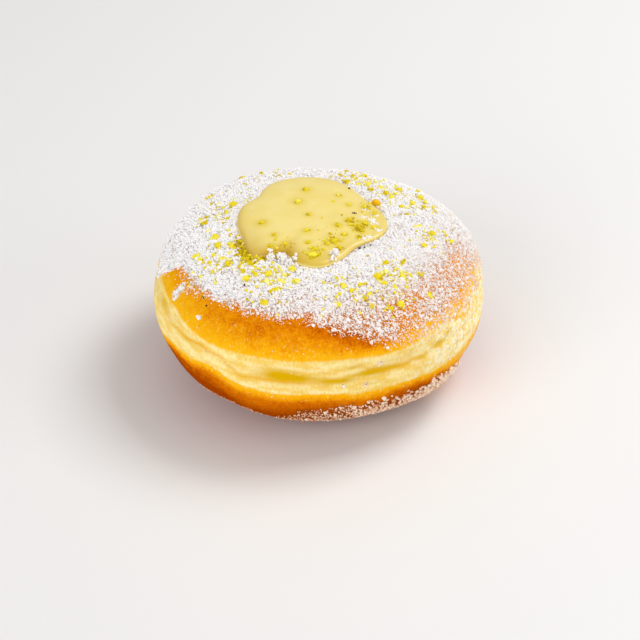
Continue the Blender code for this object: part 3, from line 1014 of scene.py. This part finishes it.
def joined_bits(name, shapes, places, sizes, material, seed, flat=0.0, outwards=None, tones=None):
    """One mesh of many small bits, each a turned and scaled copy of one of the shapes."""
    rng = np.random.default_rng(seed)
    count = len(places)
    picks = rng.integers(len(shapes), size=count)
    turns = random_turns(rng, count)
    solid = np.stack([shape[0] for shape in shapes])[picks]
    solid = solid * rng.uniform(*BIT_STRETCH, size=(count, 1, 3)) * sizes[:, None, None]
    corners = np.einsum("nij,nkj->nki", turns, solid)
    if flat:
        above = np.einsum("nki,ni->nk", corners, outwards)
        corners -= flat * above[..., None] * outwards[:, None, :]
    corners += places[:, None, :]
    faces = np.stack([shape[1] for shape in shapes])[picks]
    faces = faces + (np.arange(count) * solid.shape[1])[:, None, None]
    mesh = bpy.data.meshes.new(name)
    mesh.from_pydata(corners.reshape(-1, 3).tolist(), [], faces.reshape(-1, 3).tolist())
    mesh.materials.append(material)
    tones = rng.random(count) if tones is None else tones
    shades = np.repeat(tones, solid.shape[1])
    mesh.attributes.new("tone", "FLOAT", "POINT").data.foreach_set("value", shades)
    piece = in_scene(name, mesh)
    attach(piece, "root")
    return piece


def skin_samples(piece, weight_of, count, seed):
    """Points spread at random over a piece's faces, as densely as weight_of says, with the facing there."""
    rng = np.random.default_rng(seed)
    mesh = piece.data
    mesh.calc_loop_triangles()
    corners = np.zeros(len(mesh.vertices) * 3)
    mesh.vertices.foreach_get("co", corners)
    corners = corners.reshape(-1, 3)
    sides = np.zeros(len(mesh.loop_triangles) * 3, dtype=np.int32)
    mesh.loop_triangles.foreach_get("vertices", sides)
    first, second, third = corners[sides.reshape(-1, 3)].transpose(1, 0, 2)
    across = np.cross(second - first, third - first)
    area = np.linalg.norm(across, axis=1)
    weight = area * weight_of((first + second + third) / 3, sides.reshape(-1, 3))
    chosen = rng.choice(len(weight), size=count, p=weight / weight.sum())
    a, b = rng.random(count), rng.random(count)
    a, b = np.where(a + b > 1, 1 - a, a)[:, None], np.where(a + b > 1, 1 - b, b)[:, None]
    places = first[chosen] + a * (second - first)[chosen] + b * (third - first)[chosen]
    return places, across[chosen] / area[chosen][:, None]


def point_values(piece, name):
    values = np.zeros(len(piece.data.vertices))
    piece.data.attributes[name].data.foreach_get("value", values)
    return values


DUST = point_values(dough, "dust")
CAKE = point_values(dough, "cake")
THIN = point_values(dough, "thin")


def directions(middles):
    return np.degrees(np.arctan2(middles[:, 1], middles[:, 0]))


def near_side(middles, side, spread):
    """What towards() gives, for many places at once."""
    return np.exp(-(turn_between(directions(middles), side) / spread) ** 2)


def clear_of_cream(middles):
    return np.array([z < SIDES_TOP or beyond_cream(x, y) > -UNDER_CREAM for x, y, z in middles])


def grain_weight(middles, sides):
    """Fine grains lie wherever there is sugar, and a few have strayed over the band and the crust."""
    height = middles[:, 2] / MM
    band = (height > BAND_STRAYS_FROM) & (height < BAND_STRAYS_TO)
    stray = STRAYS + BAND_STRAYS * near_side(middles, *BAND_STRAYS_SIDE) * band
    more = GRAINS_USUAL + GRAINS_MORE_THIN * THIN[sides].mean(axis=1)
    lying = DUST[sides].mean(axis=1) ** GRAINS_EVEN * more
    return (lying + stray) * clear_of_cream(middles) * (height > GRAINS_LOWEST)


def clump_weight(middles, sides):
    """Clumps lie where the sugar is thick."""
    fewer = 1 - CLUMPS_FEWER_THIN * THIN[sides].mean(axis=1)
    return DUST[sides].mean(axis=1) ** CLUMPS_EVEN * fewer * clear_of_cream(middles)


def sugar_material(name, light, crust_reflection):
    material, tree, shader = new_material(name)
    # From white to a painted reflection of the crust, by each bit's tone.
    tone = mixed(tree, mark(tree, "tone"), light, crust_reflection)
    set_inputs(tree, shader, {"Base Color": tone, **SUGAR_FINISH})
    return material


SUGAR = sugar_material("sugar", SUGAR_LIGHT_COLOUR, SUGAR_CRUST_REFLECTION_COLOUR)


def sizes_between(sizes, draws, mostly_small):
    """Sizes from random draws between 0 and 1. A power above 1 makes more of them small."""
    return sizes[0] + (sizes[1] - sizes[0]) * draws ** mostly_small


def build_sugar(name, builder, weight_of, count, sizes, seed, raised):
    """Bits strewn over the skin. Where they lie thin they are warmer, from a painted reflection of the
    crust under them.
    """
    places, outwards = skin_samples(dough, weight_of, count, seed)
    rng = np.random.default_rng(seed + 100)
    sizes = sizes_between(sizes, rng.random(count), MOSTLY_SMALL)
    spots = [(Vector(place), direction(*place[:2])) for place in places]
    warmth = [WARM_AT_EDGE - dust_at(*spot) + WARM_WHERE_THIN * thin_at(*spot) for spot in spots]
    tones = rng.random(count) * np.minimum(warmth, 1.0)
    places = places + outwards * (sizes * raised)[:, None]
    shapes = rough_shapes(builder, SUGAR_SHAPES, SUGAR_ROUGHNESS, seed)
    joined_bits(name, shapes, places, sizes, SUGAR, seed, tones=tones)


def in_metres(row):
    """A place and size listed in millimetres."""
    return tuple(number * MM for number in row)


def lump_places():
    """Places and sizes of the sugar lumps, each just outside the pool's edge."""
    places = []
    for angle, size in SUGAR_LUMPS:
        out = cream_reach(angle) + 0.5 * size * MM + 2 * GAP
        places.append((*round_cream(angle, out), size * MM))
    return places


def dropped(x, y):
    """Where a bit dropped at x, y lands, on the cream or on the bun, and how the surface faces there."""
    return landing(cream_tree if beyond_cream(x, y) < 0 else dough_tree, x, y)


def lump_bits(rng):
    """The bits of each lump, heaped highest in its middle."""
    bits = []
    for x, y, size in lump_places() + [in_metres(lump) for lump in SMALL_LUMPS + (CREAM_LUMP,)]:
        for _ in range(round(LUMP_BITS * (size / MM) ** 2)):
            turn, out = rng.uniform(0, math.tau), 0.5 * size * rng.random() ** 0.6
            place, _ = dropped(*beside(x, y, turn, out))
            rise = rng.uniform(0.0, LUMP_RISE) * math.sqrt(max(0.25 * size * size - out * out, 0.0))
            bits.append((place + Vector((0, 0, rise)), rng.uniform(*LUMP_BIT_SIZES) * MM))
    return bits


def dab_bits(rng):
    """The bits of each dab on the cream, strewn in a short streak."""
    bits = []
    for x, y in DABS:
        turn = rng.uniform(-DAB_TURN, DAB_TURN)
        for _ in range(DAB_BITS):
            along, across = rng.gauss(0, DAB_LONG), rng.gauss(0, DAB_WIDE)
            a = (x + along * math.cos(turn) - across * math.sin(turn)) * MM
            b = (y + along * math.sin(turn) + across * math.cos(turn)) * MM
            bits.append((landing(cream_tree, a, b)[0], rng.uniform(*DAB_BIT_SIZES) * MM))
    return bits


def banked_bits(rng):
    """The bits banked against the cream's edge, just outside it."""
    bits = []
    for _ in range(BANKED_BITS):
        angle = rng.gauss(BANK_SIDE, BANK_SPREAD)
        out = cream_reach(angle) + abs(rng.gauss(BANK_OUT, BANK_WIDE)) * MM
        place, _ = landing(dough_tree, *round_cream(angle, out))
        place += Vector((0, 0, rng.uniform(0.0, BANK_RISE) * MM))
        bits.append((place, rng.uniform(*BANKED_BIT_SIZES) * MM))
    return bits


def build_lumps():
    rng = random.Random(LUMP_SEED)
    places, sizes = zip(*(lump_bits(rng) + dab_bits(rng) + banked_bits(rng)))
    shapes = rough_shapes(twenty_sided, LUMP_SHAPES, LUMP_ROUGHNESS, LUMP_SEED + 1)
    tones = np.random.default_rng(LUMP_SEED + 6).uniform(0.0, LUMP_WARMTH, len(sizes))
    places, sizes = np.array(places), np.array(sizes)
    joined_bits("sugar_lumps", shapes, places, sizes, SUGAR, LUMP_SEED + 2, tones=tones)


build_sugar(
    "sugar_grains", eight_sided, grain_weight, GRAIN_COUNT, GRAIN_SIZES, GRAIN_SEED, GRAIN_RAISED,
)
build_sugar(
    "sugar_clumps", twenty_sided, clump_weight, CLUMP_COUNT, CLUMP_SIZES, CLUMP_SEED, CLUMP_RAISED,
)
build_lumps()


# The caked sugar: coarse crystals that stuck to the damp lower side. Their warm colour is a painted
# reflection of the crust seen through them. They lie thickest at the front, and a thin line of them follows
# the lower left edge.
CAKED_COUNT = 1500
CAKED_SIZES = (0.45 * MM, 1.3 * MM)
CAKED_MOSTLY_SMALL = 1.6
CAKED_GRAINS = 44
CAKED_GRAIN_SIZES = (1.5 * MM, 1.0 * MM)
CAKED_SPAN = (258, 332)
CAKED_LOW = 4.0 * MM
CAKED_JITTER = (0.2, 0.8)
CAKED_RAISED = 0.12
CAKED_SHAPES = 8
CAKED_ROUGHNESS = 0.3
CAKED_SEED = 5

# The caked part thins out towards its right end. The thin line at the lower left lies at a height
# in millimetres that climbs a little with each degree to the left, and it is browner.
CAKED_THIN_SIDE = (327, 14)
CAKED_THINNER = 0.35
LINE_SIDE = (235, 19)
LINE_HEIGHT = 7.6
LINE_CLIMB = 0.06
LINE_CLIMB_FROM = 262
LINE_CLIMB_OVER = 60
LINE_WEIGHT = 0.9
BROWNER_SIDE = (230, 26)
BROWNER = 0.3
# Painted light: the crystals at the right end, which lie in shade, are made paler.
PAINTED_LIGHT_SIDE = (326, 16)
PAINTED_LIGHT = 0.6
# From white to a painted reflection of the crust.
CAKED_LIGHT_COLOUR = colour(255, 236, 212)
CAKED_CRUST_REFLECTION_COLOUR = colour(200, 118, 52)


def cake_weight(middles, sides):
    """Crystals lie where the belly is caked, and along the thin line at the lower left."""
    height = middles[:, 2] / MM
    left = LINE_CLIMB_FROM - directions(middles) % 360
    climb = LINE_HEIGHT + LINE_CLIMB * np.clip(left, 0, LINE_CLIMB_OVER)
    line = near_side(middles, *LINE_SIDE) * np.exp(-((height - climb) ** 2))
    thinner = 1 - CAKED_THINNER * near_side(middles, *CAKED_THIN_SIDE)
    return CAKE[sides].mean(axis=1) * thinner + LINE_WEIGHT * line


def caked_grains():
    """The largest crystals, evenly along the caked part in three jittered rows."""
    rng = random.Random(CAKED_SEED)
    places, sizes = [], []
    for number in range(CAKED_GRAINS):
        share = (number + rng.uniform(*CAKED_JITTER)) / CAKED_GRAINS
        angle = CAKED_SPAN[0] + (CAKED_SPAN[1] - CAKED_SPAN[0]) * share
        top = MM * cake_top(angle)
        row = (number % 3 + rng.uniform(*CAKED_JITTER)) / 3
        turn = math.radians(angle)
        outward = Vector((math.cos(turn), math.sin(turn), 0))
        start = outward * 2 * BUN_RADIUS + Vector((0, 0, CAKED_LOW + (top - CAKED_LOW) * row))
        place, _, _, _ = dough_tree.ray_cast(start, -outward)
        places.append(place)
        sizes.append(rng.uniform(*CAKED_GRAIN_SIZES))
    return places, sizes


def build_caked():
    places, outwards = skin_samples(dough, cake_weight, CAKED_COUNT, CAKED_SEED)
    rng = np.random.default_rng(CAKED_SEED)
    sizes = sizes_between(CAKED_SIZES, rng.random(CAKED_COUNT), CAKED_MOSTLY_SMALL)
    places = places + outwards * (sizes * CAKED_RAISED)[:, None]
    large_places, large_sizes = caked_grains()
    places = np.concatenate([places, large_places])
    sizes = np.concatenate([sizes, large_sizes])
    # Random tones, with painted light at the right end, and browner at the lower left.
    tones = rng.random(len(places)) ** 1.2 * (1 - PAINTED_LIGHT * near_side(places, *PAINTED_LIGHT_SIDE))
    tones += BROWNER * near_side(places, *BROWNER_SIDE)
    shapes = rough_shapes(twenty_sided, CAKED_SHAPES, CAKED_ROUGHNESS, CAKED_SEED + 7)
    material = sugar_material("caked_sugar", CAKED_LIGHT_COLOUR, CAKED_CRUST_REFLECTION_COLOUR)
    joined_bits("caked_sugar", shapes, places, sizes, material, CAKED_SEED + 8, tones=tones)


build_caked()


# The chopped pistachios: skinned, vivid yellow-green nuts cut small and thrown over the cream and the
# sugar. Each large bit lies broken in its place, with crumbs and dust of the same nut round it. One
# rounder bit by the cream's right edge is toasted, and a few dark scraps of skin came with the nuts.
CRUMB_LARGEST = 2.6 * MM
CRUMB_SMALLEST = 1.3 * MM
DOUGH_CRUMBS = 88

# A drift is a place and a spread in millimetres, and how much it gets of the bits. A single bit is a
# place and a size.
DOUGH_DRIFTS = (
    (-24.0, -9.5, 1.8, 3),
    (-20.2, -18.3, 2.0, 5),
    (-14.1, -25.0, 4.2, 16),
    (-28.1, -16.0, 4.5, 10),
    (7.4, -31.3, 4.5, 8),
    (20.4, -30.2, 4.0, 8),
    (22.9, -22.5, 3.0, 5),
    (11.4, 29.3, 4.0, 12),
    (21.4, 20.3, 3.5, 8),
    (30.4, 13.3, 3.5, 6),
    (31.4, -3.3, 3.0, 6),
    (-28.6, 10.3, 5.5, 7),
    (-14.6, 32.3, 5.0, 4),
    (0.4, 1.3, 26.0, 16),
)
CREAM_CRUMBS = (
    (-1.4, -18.2, 2.5), (-0.7, -15.5, 1.9), (4.5, -11.0, 2.4), (2.6, -12.6, 1.5), (11.6, -4.0, 2.6),
    (13.4, -1.4, 2.0), (8.9, -0.3, 1.8), (9.3, -2.2, 1.5), (13.6, 8.0, 1.7), (16.2, 4.0, 1.6),
    (-5.9, 9.4, 1.8), (-3.5, 16.3, 1.7), (5.9, 13.4, 1.4), (8.8, 8.5, 1.4), (-3.0, 2.4, 1.4),
    (-16.1, -1.6, 1.9), (-3.3, -6.3, 1.7), (-12.6, -8.4, 1.3), (-13.4, -13.6, 1.5), (5.7, -3.0, 1.7),
    (5.8, -14.0, 1.7), (15.9, -2.6, 1.5), (11.8, -8.0, 1.4), (-2.9, -12.3, 1.3), (-9.4, -12.6, 1.3),
    (7.4, -7.2, 1.5),
)
CREAM_DRIFTS = (
    (-0.9, -17.2, 1.6, 5),
    (4.7, -11.3, 1.8, 4),
    (11.6, -2.6, 2.0, 6),
    (14.6, 6.0, 1.8, 4),
    (-11.0, -13.0, 2.6, 3),
    (2.0, 0.0, 8.0, 2),
)

# A large bit lies broken, as a core and two to four pieces round it, all shares of its size.
CORE_SHARE = 0.85
BROKEN_OFF = (2, 4)
BROKEN_OUT = (0.3, 0.55)
BROKEN_SIZES = (0.3, 0.55)
BROKEN_SEED = 6

PILE_SIDE = 217
PILE_SPREAD = 10
PILE_WIDTH = 1.3 * MM
PILE_BITS = 170
PILE_BIT_SIZES = (0.5, 1.3)
PILE_GAP = 0.3 * MM
PILE_RISE = 0.8
PILE_SEED = 23
TOASTED_CRUMB = (16.9, 12.1, 2.3)
SCATTER_REACH = 43.0 * MM
RIM_MARGIN = 0.8 * MM
APART = 0.62
CRUMB_SEED = 11
FINE_CRUMBS = 1150
FINE_ON_CREAM = 170
FINE_SIZES = (0.35 * MM, 1.2 * MM)
FINE_MOSTLY_SMALL = 2.4
NUT_SHAPES = 12
NUT_ROUGHNESS = 0.34
NUT_SEED = 21
NUT_RAISED = 0.14
NUT_FLAT, PILE_FLAT = 0.3, 0.15
NUT_TONES = (0.2, 0.95)
# The pile's bits are darker than the others: partly their own olive, partly painted shade where they crowd
# into the cream's corner.
PILE_TONES_AND_SHADE = (-0.15, 0.55)
DARKER_ON_CREAM = 0.75
STAIN_REACH = 1.1
STAIN_STRENGTH = 0.8
DARK_FLECKS = (
    (9.1, 18.3, 0.7), (10.0, 3.9, 0.55), (10.5, 3.9, 0.6), (11.0, 3.9, 0.5), (12.1, -4.2, 0.8),
    (11.7, -11.8, 0.9), (13.1, -11.2, 0.8), (14.8, -10.3, 0.7), (28.4, 5.2, 0.6),
    (-3.1, 30.1, 0.6), (-19.6, -33.7, 0.8), (-20.3, -27.6, 0.8), (-32.0, -27.0, 0.9), (-31.0, -29.9, 0.6),
)
FLECK_SHAPES = 4
FLECK_ROUGHNESS = 0.35
DARK_FLECK_SEED = 41
TOASTED_ROUGHNESS = 0.05
TOASTED_SEED = 31
ODD_RAISED = 0.2
TOASTED_COLOUR = colour(255, 196, 0)
TOASTED_DULL = 0.5
NUT_SKIN_COLOUR = colour(84, 58, 20)
NUT_SKIN_DULL = 0.7
ODD_MOTTLE = (0.6 * MM,)
DARKER_SPOTS = 0.75


def drawn_place(rng, drifts):
    x, y, spread, _ = rng.choices(drifts, weights=[drift[3] for drift in drifts])[0]
    return rng.gauss(x, spread) * MM, rng.gauss(y, spread) * MM


def crumb_places(taken):
    """Places and sizes of the large bits on the sugar, the largest first, each clear of the others."""
    rng = random.Random(CRUMB_SEED)
    places = []
    while len(places) < DOUGH_CRUMBS:
        x, y = drawn_place(rng, DOUGH_DRIFTS)
        size = CRUMB_LARGEST + (CRUMB_SMALLEST - CRUMB_LARGEST) * len(places) / DOUGH_CRUMBS
        clear_of_rim = beyond_cream(x, y) > 0.5 * size + RIM_MARGIN
        apart = all(math.hypot(x - a, y - b) > APART * (size + c) for a, b, c in taken + places)
        if clear_of_rim and apart and math.hypot(x, y) < SCATTER_REACH:
            places.append((x, y, size))
    return places


def fine_places(seed, drifts, count, on_cream):
    """Places and sizes of the small crumbs, which lie anywhere, a drift at a time."""
    rng = random.Random(seed)
    places = []
    while len(places) < count:
        x, y = drawn_place(rng, drifts)
        if math.hypot(x, y) < SCATTER_REACH and (beyond_cream(x, y) < 0) == on_cream:
            places.append((x, y, sizes_between(FINE_SIZES, rng.random(), FINE_MOSTLY_SMALL)))
    return places


def crumbled(spots, seed):
    """Each large bit as a few broken pieces that lie against each other in its place."""
    rng = random.Random(seed)
    bits = []
    for x, y, size in spots:
        bits.append((x, y, CORE_SHARE * size))
        for _ in range(rng.randint(*BROKEN_OFF)):
            turn, out = rng.uniform(0, math.tau), size * rng.uniform(*BROKEN_OUT)
            bits.append((*beside(x, y, turn, out), size * rng.uniform(*BROKEN_SIZES)))
    return bits


PISTACHIO_RAMP = (
    (0.00, colour(166, 136, 2)),
    (0.20, colour(214, 184, 4)),
    (0.45, colour(236, 213, 20)),
    (0.75, colour(248, 233, 68)),
    (1.00, colour(253, 246, 158)),
)
NUT_MOTTLE = (0.7 * MM,)
NUT_GRAIN = (0.4 * MM,)
NUT_RELIEF = 0.05 * MM
PISTACHIO_FINISH = {
    "Roughness": 0.6,
    "Specular IOR Level": 0.15,
    "Subsurface Weight": 0.1,
    "Subsurface Scale": 0.6 * MM,
}


def pistachio_material():
    material, tree, shader = new_material("pistachio")
    within = math_node(tree, "SUBTRACT", speckle(tree, *NUT_MOTTLE), 0.5)
    tone = math_node(tree, "ADD", mark(tree, "tone"), within, clamp=True)
    set_inputs(tree, shader, {"Base Color": ramp(tree, tone, PISTACHIO_RAMP), **PISTACHIO_FINISH})
    bumped(tree, shader, speckle(tree, *NUT_GRAIN), NUT_RELIEF)
    return material


def settled(spots, raised):
    """Places, facings and sizes of bits dropped at these spots, on the cream or on the bun."""
    places, outwards, sizes = [], [], []
    for x, y, size in spots:
        place, normal = dropped(x, y)
        places.append(place + normal * size * raised)
        outwards.append(normal)
        sizes.append(size)
    return np.array(places), np.array(outwards), np.array(sizes)


def stain_cream(spots):
    """Where nut oil has coloured the cream round each bit that lies on it."""
    stains = []
    for vert in cream.data.vertices:
        strength = 0.0
        for x, y, size in spots:
            away = math.hypot(vert.co.x - x, vert.co.y - y) / (STAIN_REACH * size)
            if away < 2:
                strength = max(strength, STAIN_STRENGTH * math.exp(-away * away))
        stains.append(strength)
    mark_points(cream, {"stain": stains})


def pile_places():
    """The drift of crumbs against the cream's front left corner, thickest at its edge."""
    rng = random.Random(PILE_SEED)
    heap, lifts = [], []
    while len(heap) < PILE_BITS:
        angle, out = rng.gauss(PILE_SIDE, PILE_SPREAD), abs(rng.gauss(0, 1)) * PILE_WIDTH
        place = round_cream(angle, cream_reach(angle) + PILE_GAP + out)
        heap.append((*place, rng.uniform(*PILE_BIT_SIZES) * MM))
        lifts.append(rng.uniform(0.0, PILE_RISE) * math.exp(-out / PILE_WIDTH) * MM)
    return heap, lifts


def build_pistachio():
    on_dough = crumb_places(lump_places() + [in_metres(TOASTED_CRUMB)])
    on_cream = [in_metres(crumb) for crumb in CREAM_CRUMBS]
    stain_cream(on_cream)
    spots = crumbled(on_dough + on_cream, BROKEN_SEED)
    spots += fine_places(CRUMB_SEED + 5, DOUGH_DRIFTS, FINE_CRUMBS, False)
    spots += fine_places(CRUMB_SEED + 6, CREAM_DRIFTS, FINE_ON_CREAM, True)
    places, outwards, sizes = settled(spots, NUT_RAISED)
    shapes = rough_shapes(twenty_sided, NUT_SHAPES, NUT_ROUGHNESS, NUT_SEED)
    material = pistachio_material()
    tones = np.random.default_rng(NUT_SEED + 1).uniform(*NUT_TONES, len(sizes))
    tones *= np.array([DARKER_ON_CREAM if beyond_cream(*spot[:2]) < 0 else 1.0 for spot in spots])
    joined_bits("pistachio", shapes, places, sizes, material, NUT_SEED + 1, NUT_FLAT, outwards, tones)
    heap, lifts = pile_places()
    places, outwards, sizes = settled(heap, NUT_RAISED)
    places[:, 2] += np.array(lifts)
    # Darker tones for the pile, partly painted shade.
    tones = np.random.default_rng(PILE_SEED + 1).uniform(*PILE_TONES_AND_SHADE, PILE_BITS)
    joined_bits(
        "pistachio_pile", shapes, places, sizes, material, PILE_SEED + 1, PILE_FLAT, outwards, tones,
    )


def plain_material(name, tint, roughness):
    material, tree, shader = new_material(name)
    darker = [DARKER_SPOTS * channel for channel in tint[:3]] + [1.0]
    tone = mixed(tree, speckle(tree, *ODD_MOTTLE), darker, tint)
    set_inputs(tree, shader, {"Base Color": tone, "Roughness": roughness, "Specular IOR Level": 0.2})
    return material


def round_bit(bit):
    bmesh.ops.create_icosphere(bit, subdivisions=3, radius=0.5)


def build_toasted():
    places, _, sizes = settled([in_metres(TOASTED_CRUMB)], ODD_RAISED)
    shapes = rough_shapes(round_bit, 1, TOASTED_ROUGHNESS, TOASTED_SEED)
    material = plain_material("toasted", TOASTED_COLOUR, TOASTED_DULL)
    joined_bits("toasted_crumb", shapes, places, sizes, material, TOASTED_SEED + 1)


def build_flecks():
    places, _, sizes = settled([in_metres(fleck) for fleck in DARK_FLECKS], ODD_RAISED)
    shapes = rough_shapes(twenty_sided, FLECK_SHAPES, FLECK_ROUGHNESS, DARK_FLECK_SEED)
    material = plain_material("nut_skin", NUT_SKIN_COLOUR, NUT_SKIN_DULL)
    joined_bits("nut_skin", shapes, places, sizes, material, DARK_FLECK_SEED + 1)


build_pistachio()
build_toasted()
build_flecks()


# The studio: a plain pale table, a soft key light from behind on the right, a low fill from the
# front on the left, a weaker one from the right, and a camera that looks down at about 35 degrees.
CAMERA_PLACE = (0.0005, -0.4682, 0.3397)
CAMERA_TILT = 55.09
CAMERA_LENS = 107.71
CAMERA_SENSOR = 36.0
FLOOR_SIZE = 3.0
FLOOR_DROP = 0.05 * MM
FLOOR_COLOUR = colour(238, 237, 237)
SKY_STRENGTH = 0.45
LIT_PLACE = (0, 0, 0.02)
LIGHTS = (
    ("key", (0.52, 0.28, 0.82), 0.45, 5.4, (1.0, 0.985, 0.96)),
    ("fill", (-0.62, -0.86, 0.38), 0.9, 6.8, (1.0, 1.0, 1.0)),
    ("side", (0.95, -0.25, 0.32), 0.6, 2.0, (1.0, 0.995, 0.98)),
)


def area_light(name, place, size, power, tint):
    lamp = bpy.data.lights.new(name, "AREA")
    lamp.size = size
    lamp.energy = power
    lamp.color = tint
    light = in_scene(name, lamp)
    light.location = place
    light.rotation_euler = (Vector(LIT_PLACE) - Vector(place)).to_track_quat("-Z", "Y").to_euler()


def build_studio():
    scene = bpy.context.scene
    body = bmesh.new()
    bmesh.ops.create_grid(body, x_segments=1, y_segments=1, size=FLOOR_SIZE / 2)
    material, tree, shader = new_material("table")
    set_inputs(tree, shader, {"Base Color": FLOOR_COLOUR, "Roughness": 0.5})
    floor = add_mesh_object("table", body, material)
    floor.location = (0, 0, -FLOOR_DROP)
    for light in LIGHTS:
        area_light(*light)
    scene.world = bpy.data.worlds.new("studio")
    scene.world.use_nodes = True
    tree = scene.world.node_tree
    sky = {"Color": (1.0, 1.0, 1.0, 1.0), "Strength": SKY_STRENGTH}
    set_inputs(tree, tree.nodes["Background"], sky)
    scene.view_settings.view_transform = "Standard"
    camera = bpy.data.cameras.new("camera")
    camera.lens = CAMERA_LENS
    camera.sensor_width = CAMERA_SENSOR
    scene.camera = in_scene("camera", camera)
    scene.camera.location = CAMERA_PLACE
    scene.camera.rotation_euler = (math.radians(CAMERA_TILT), 0, 0)


build_studio()
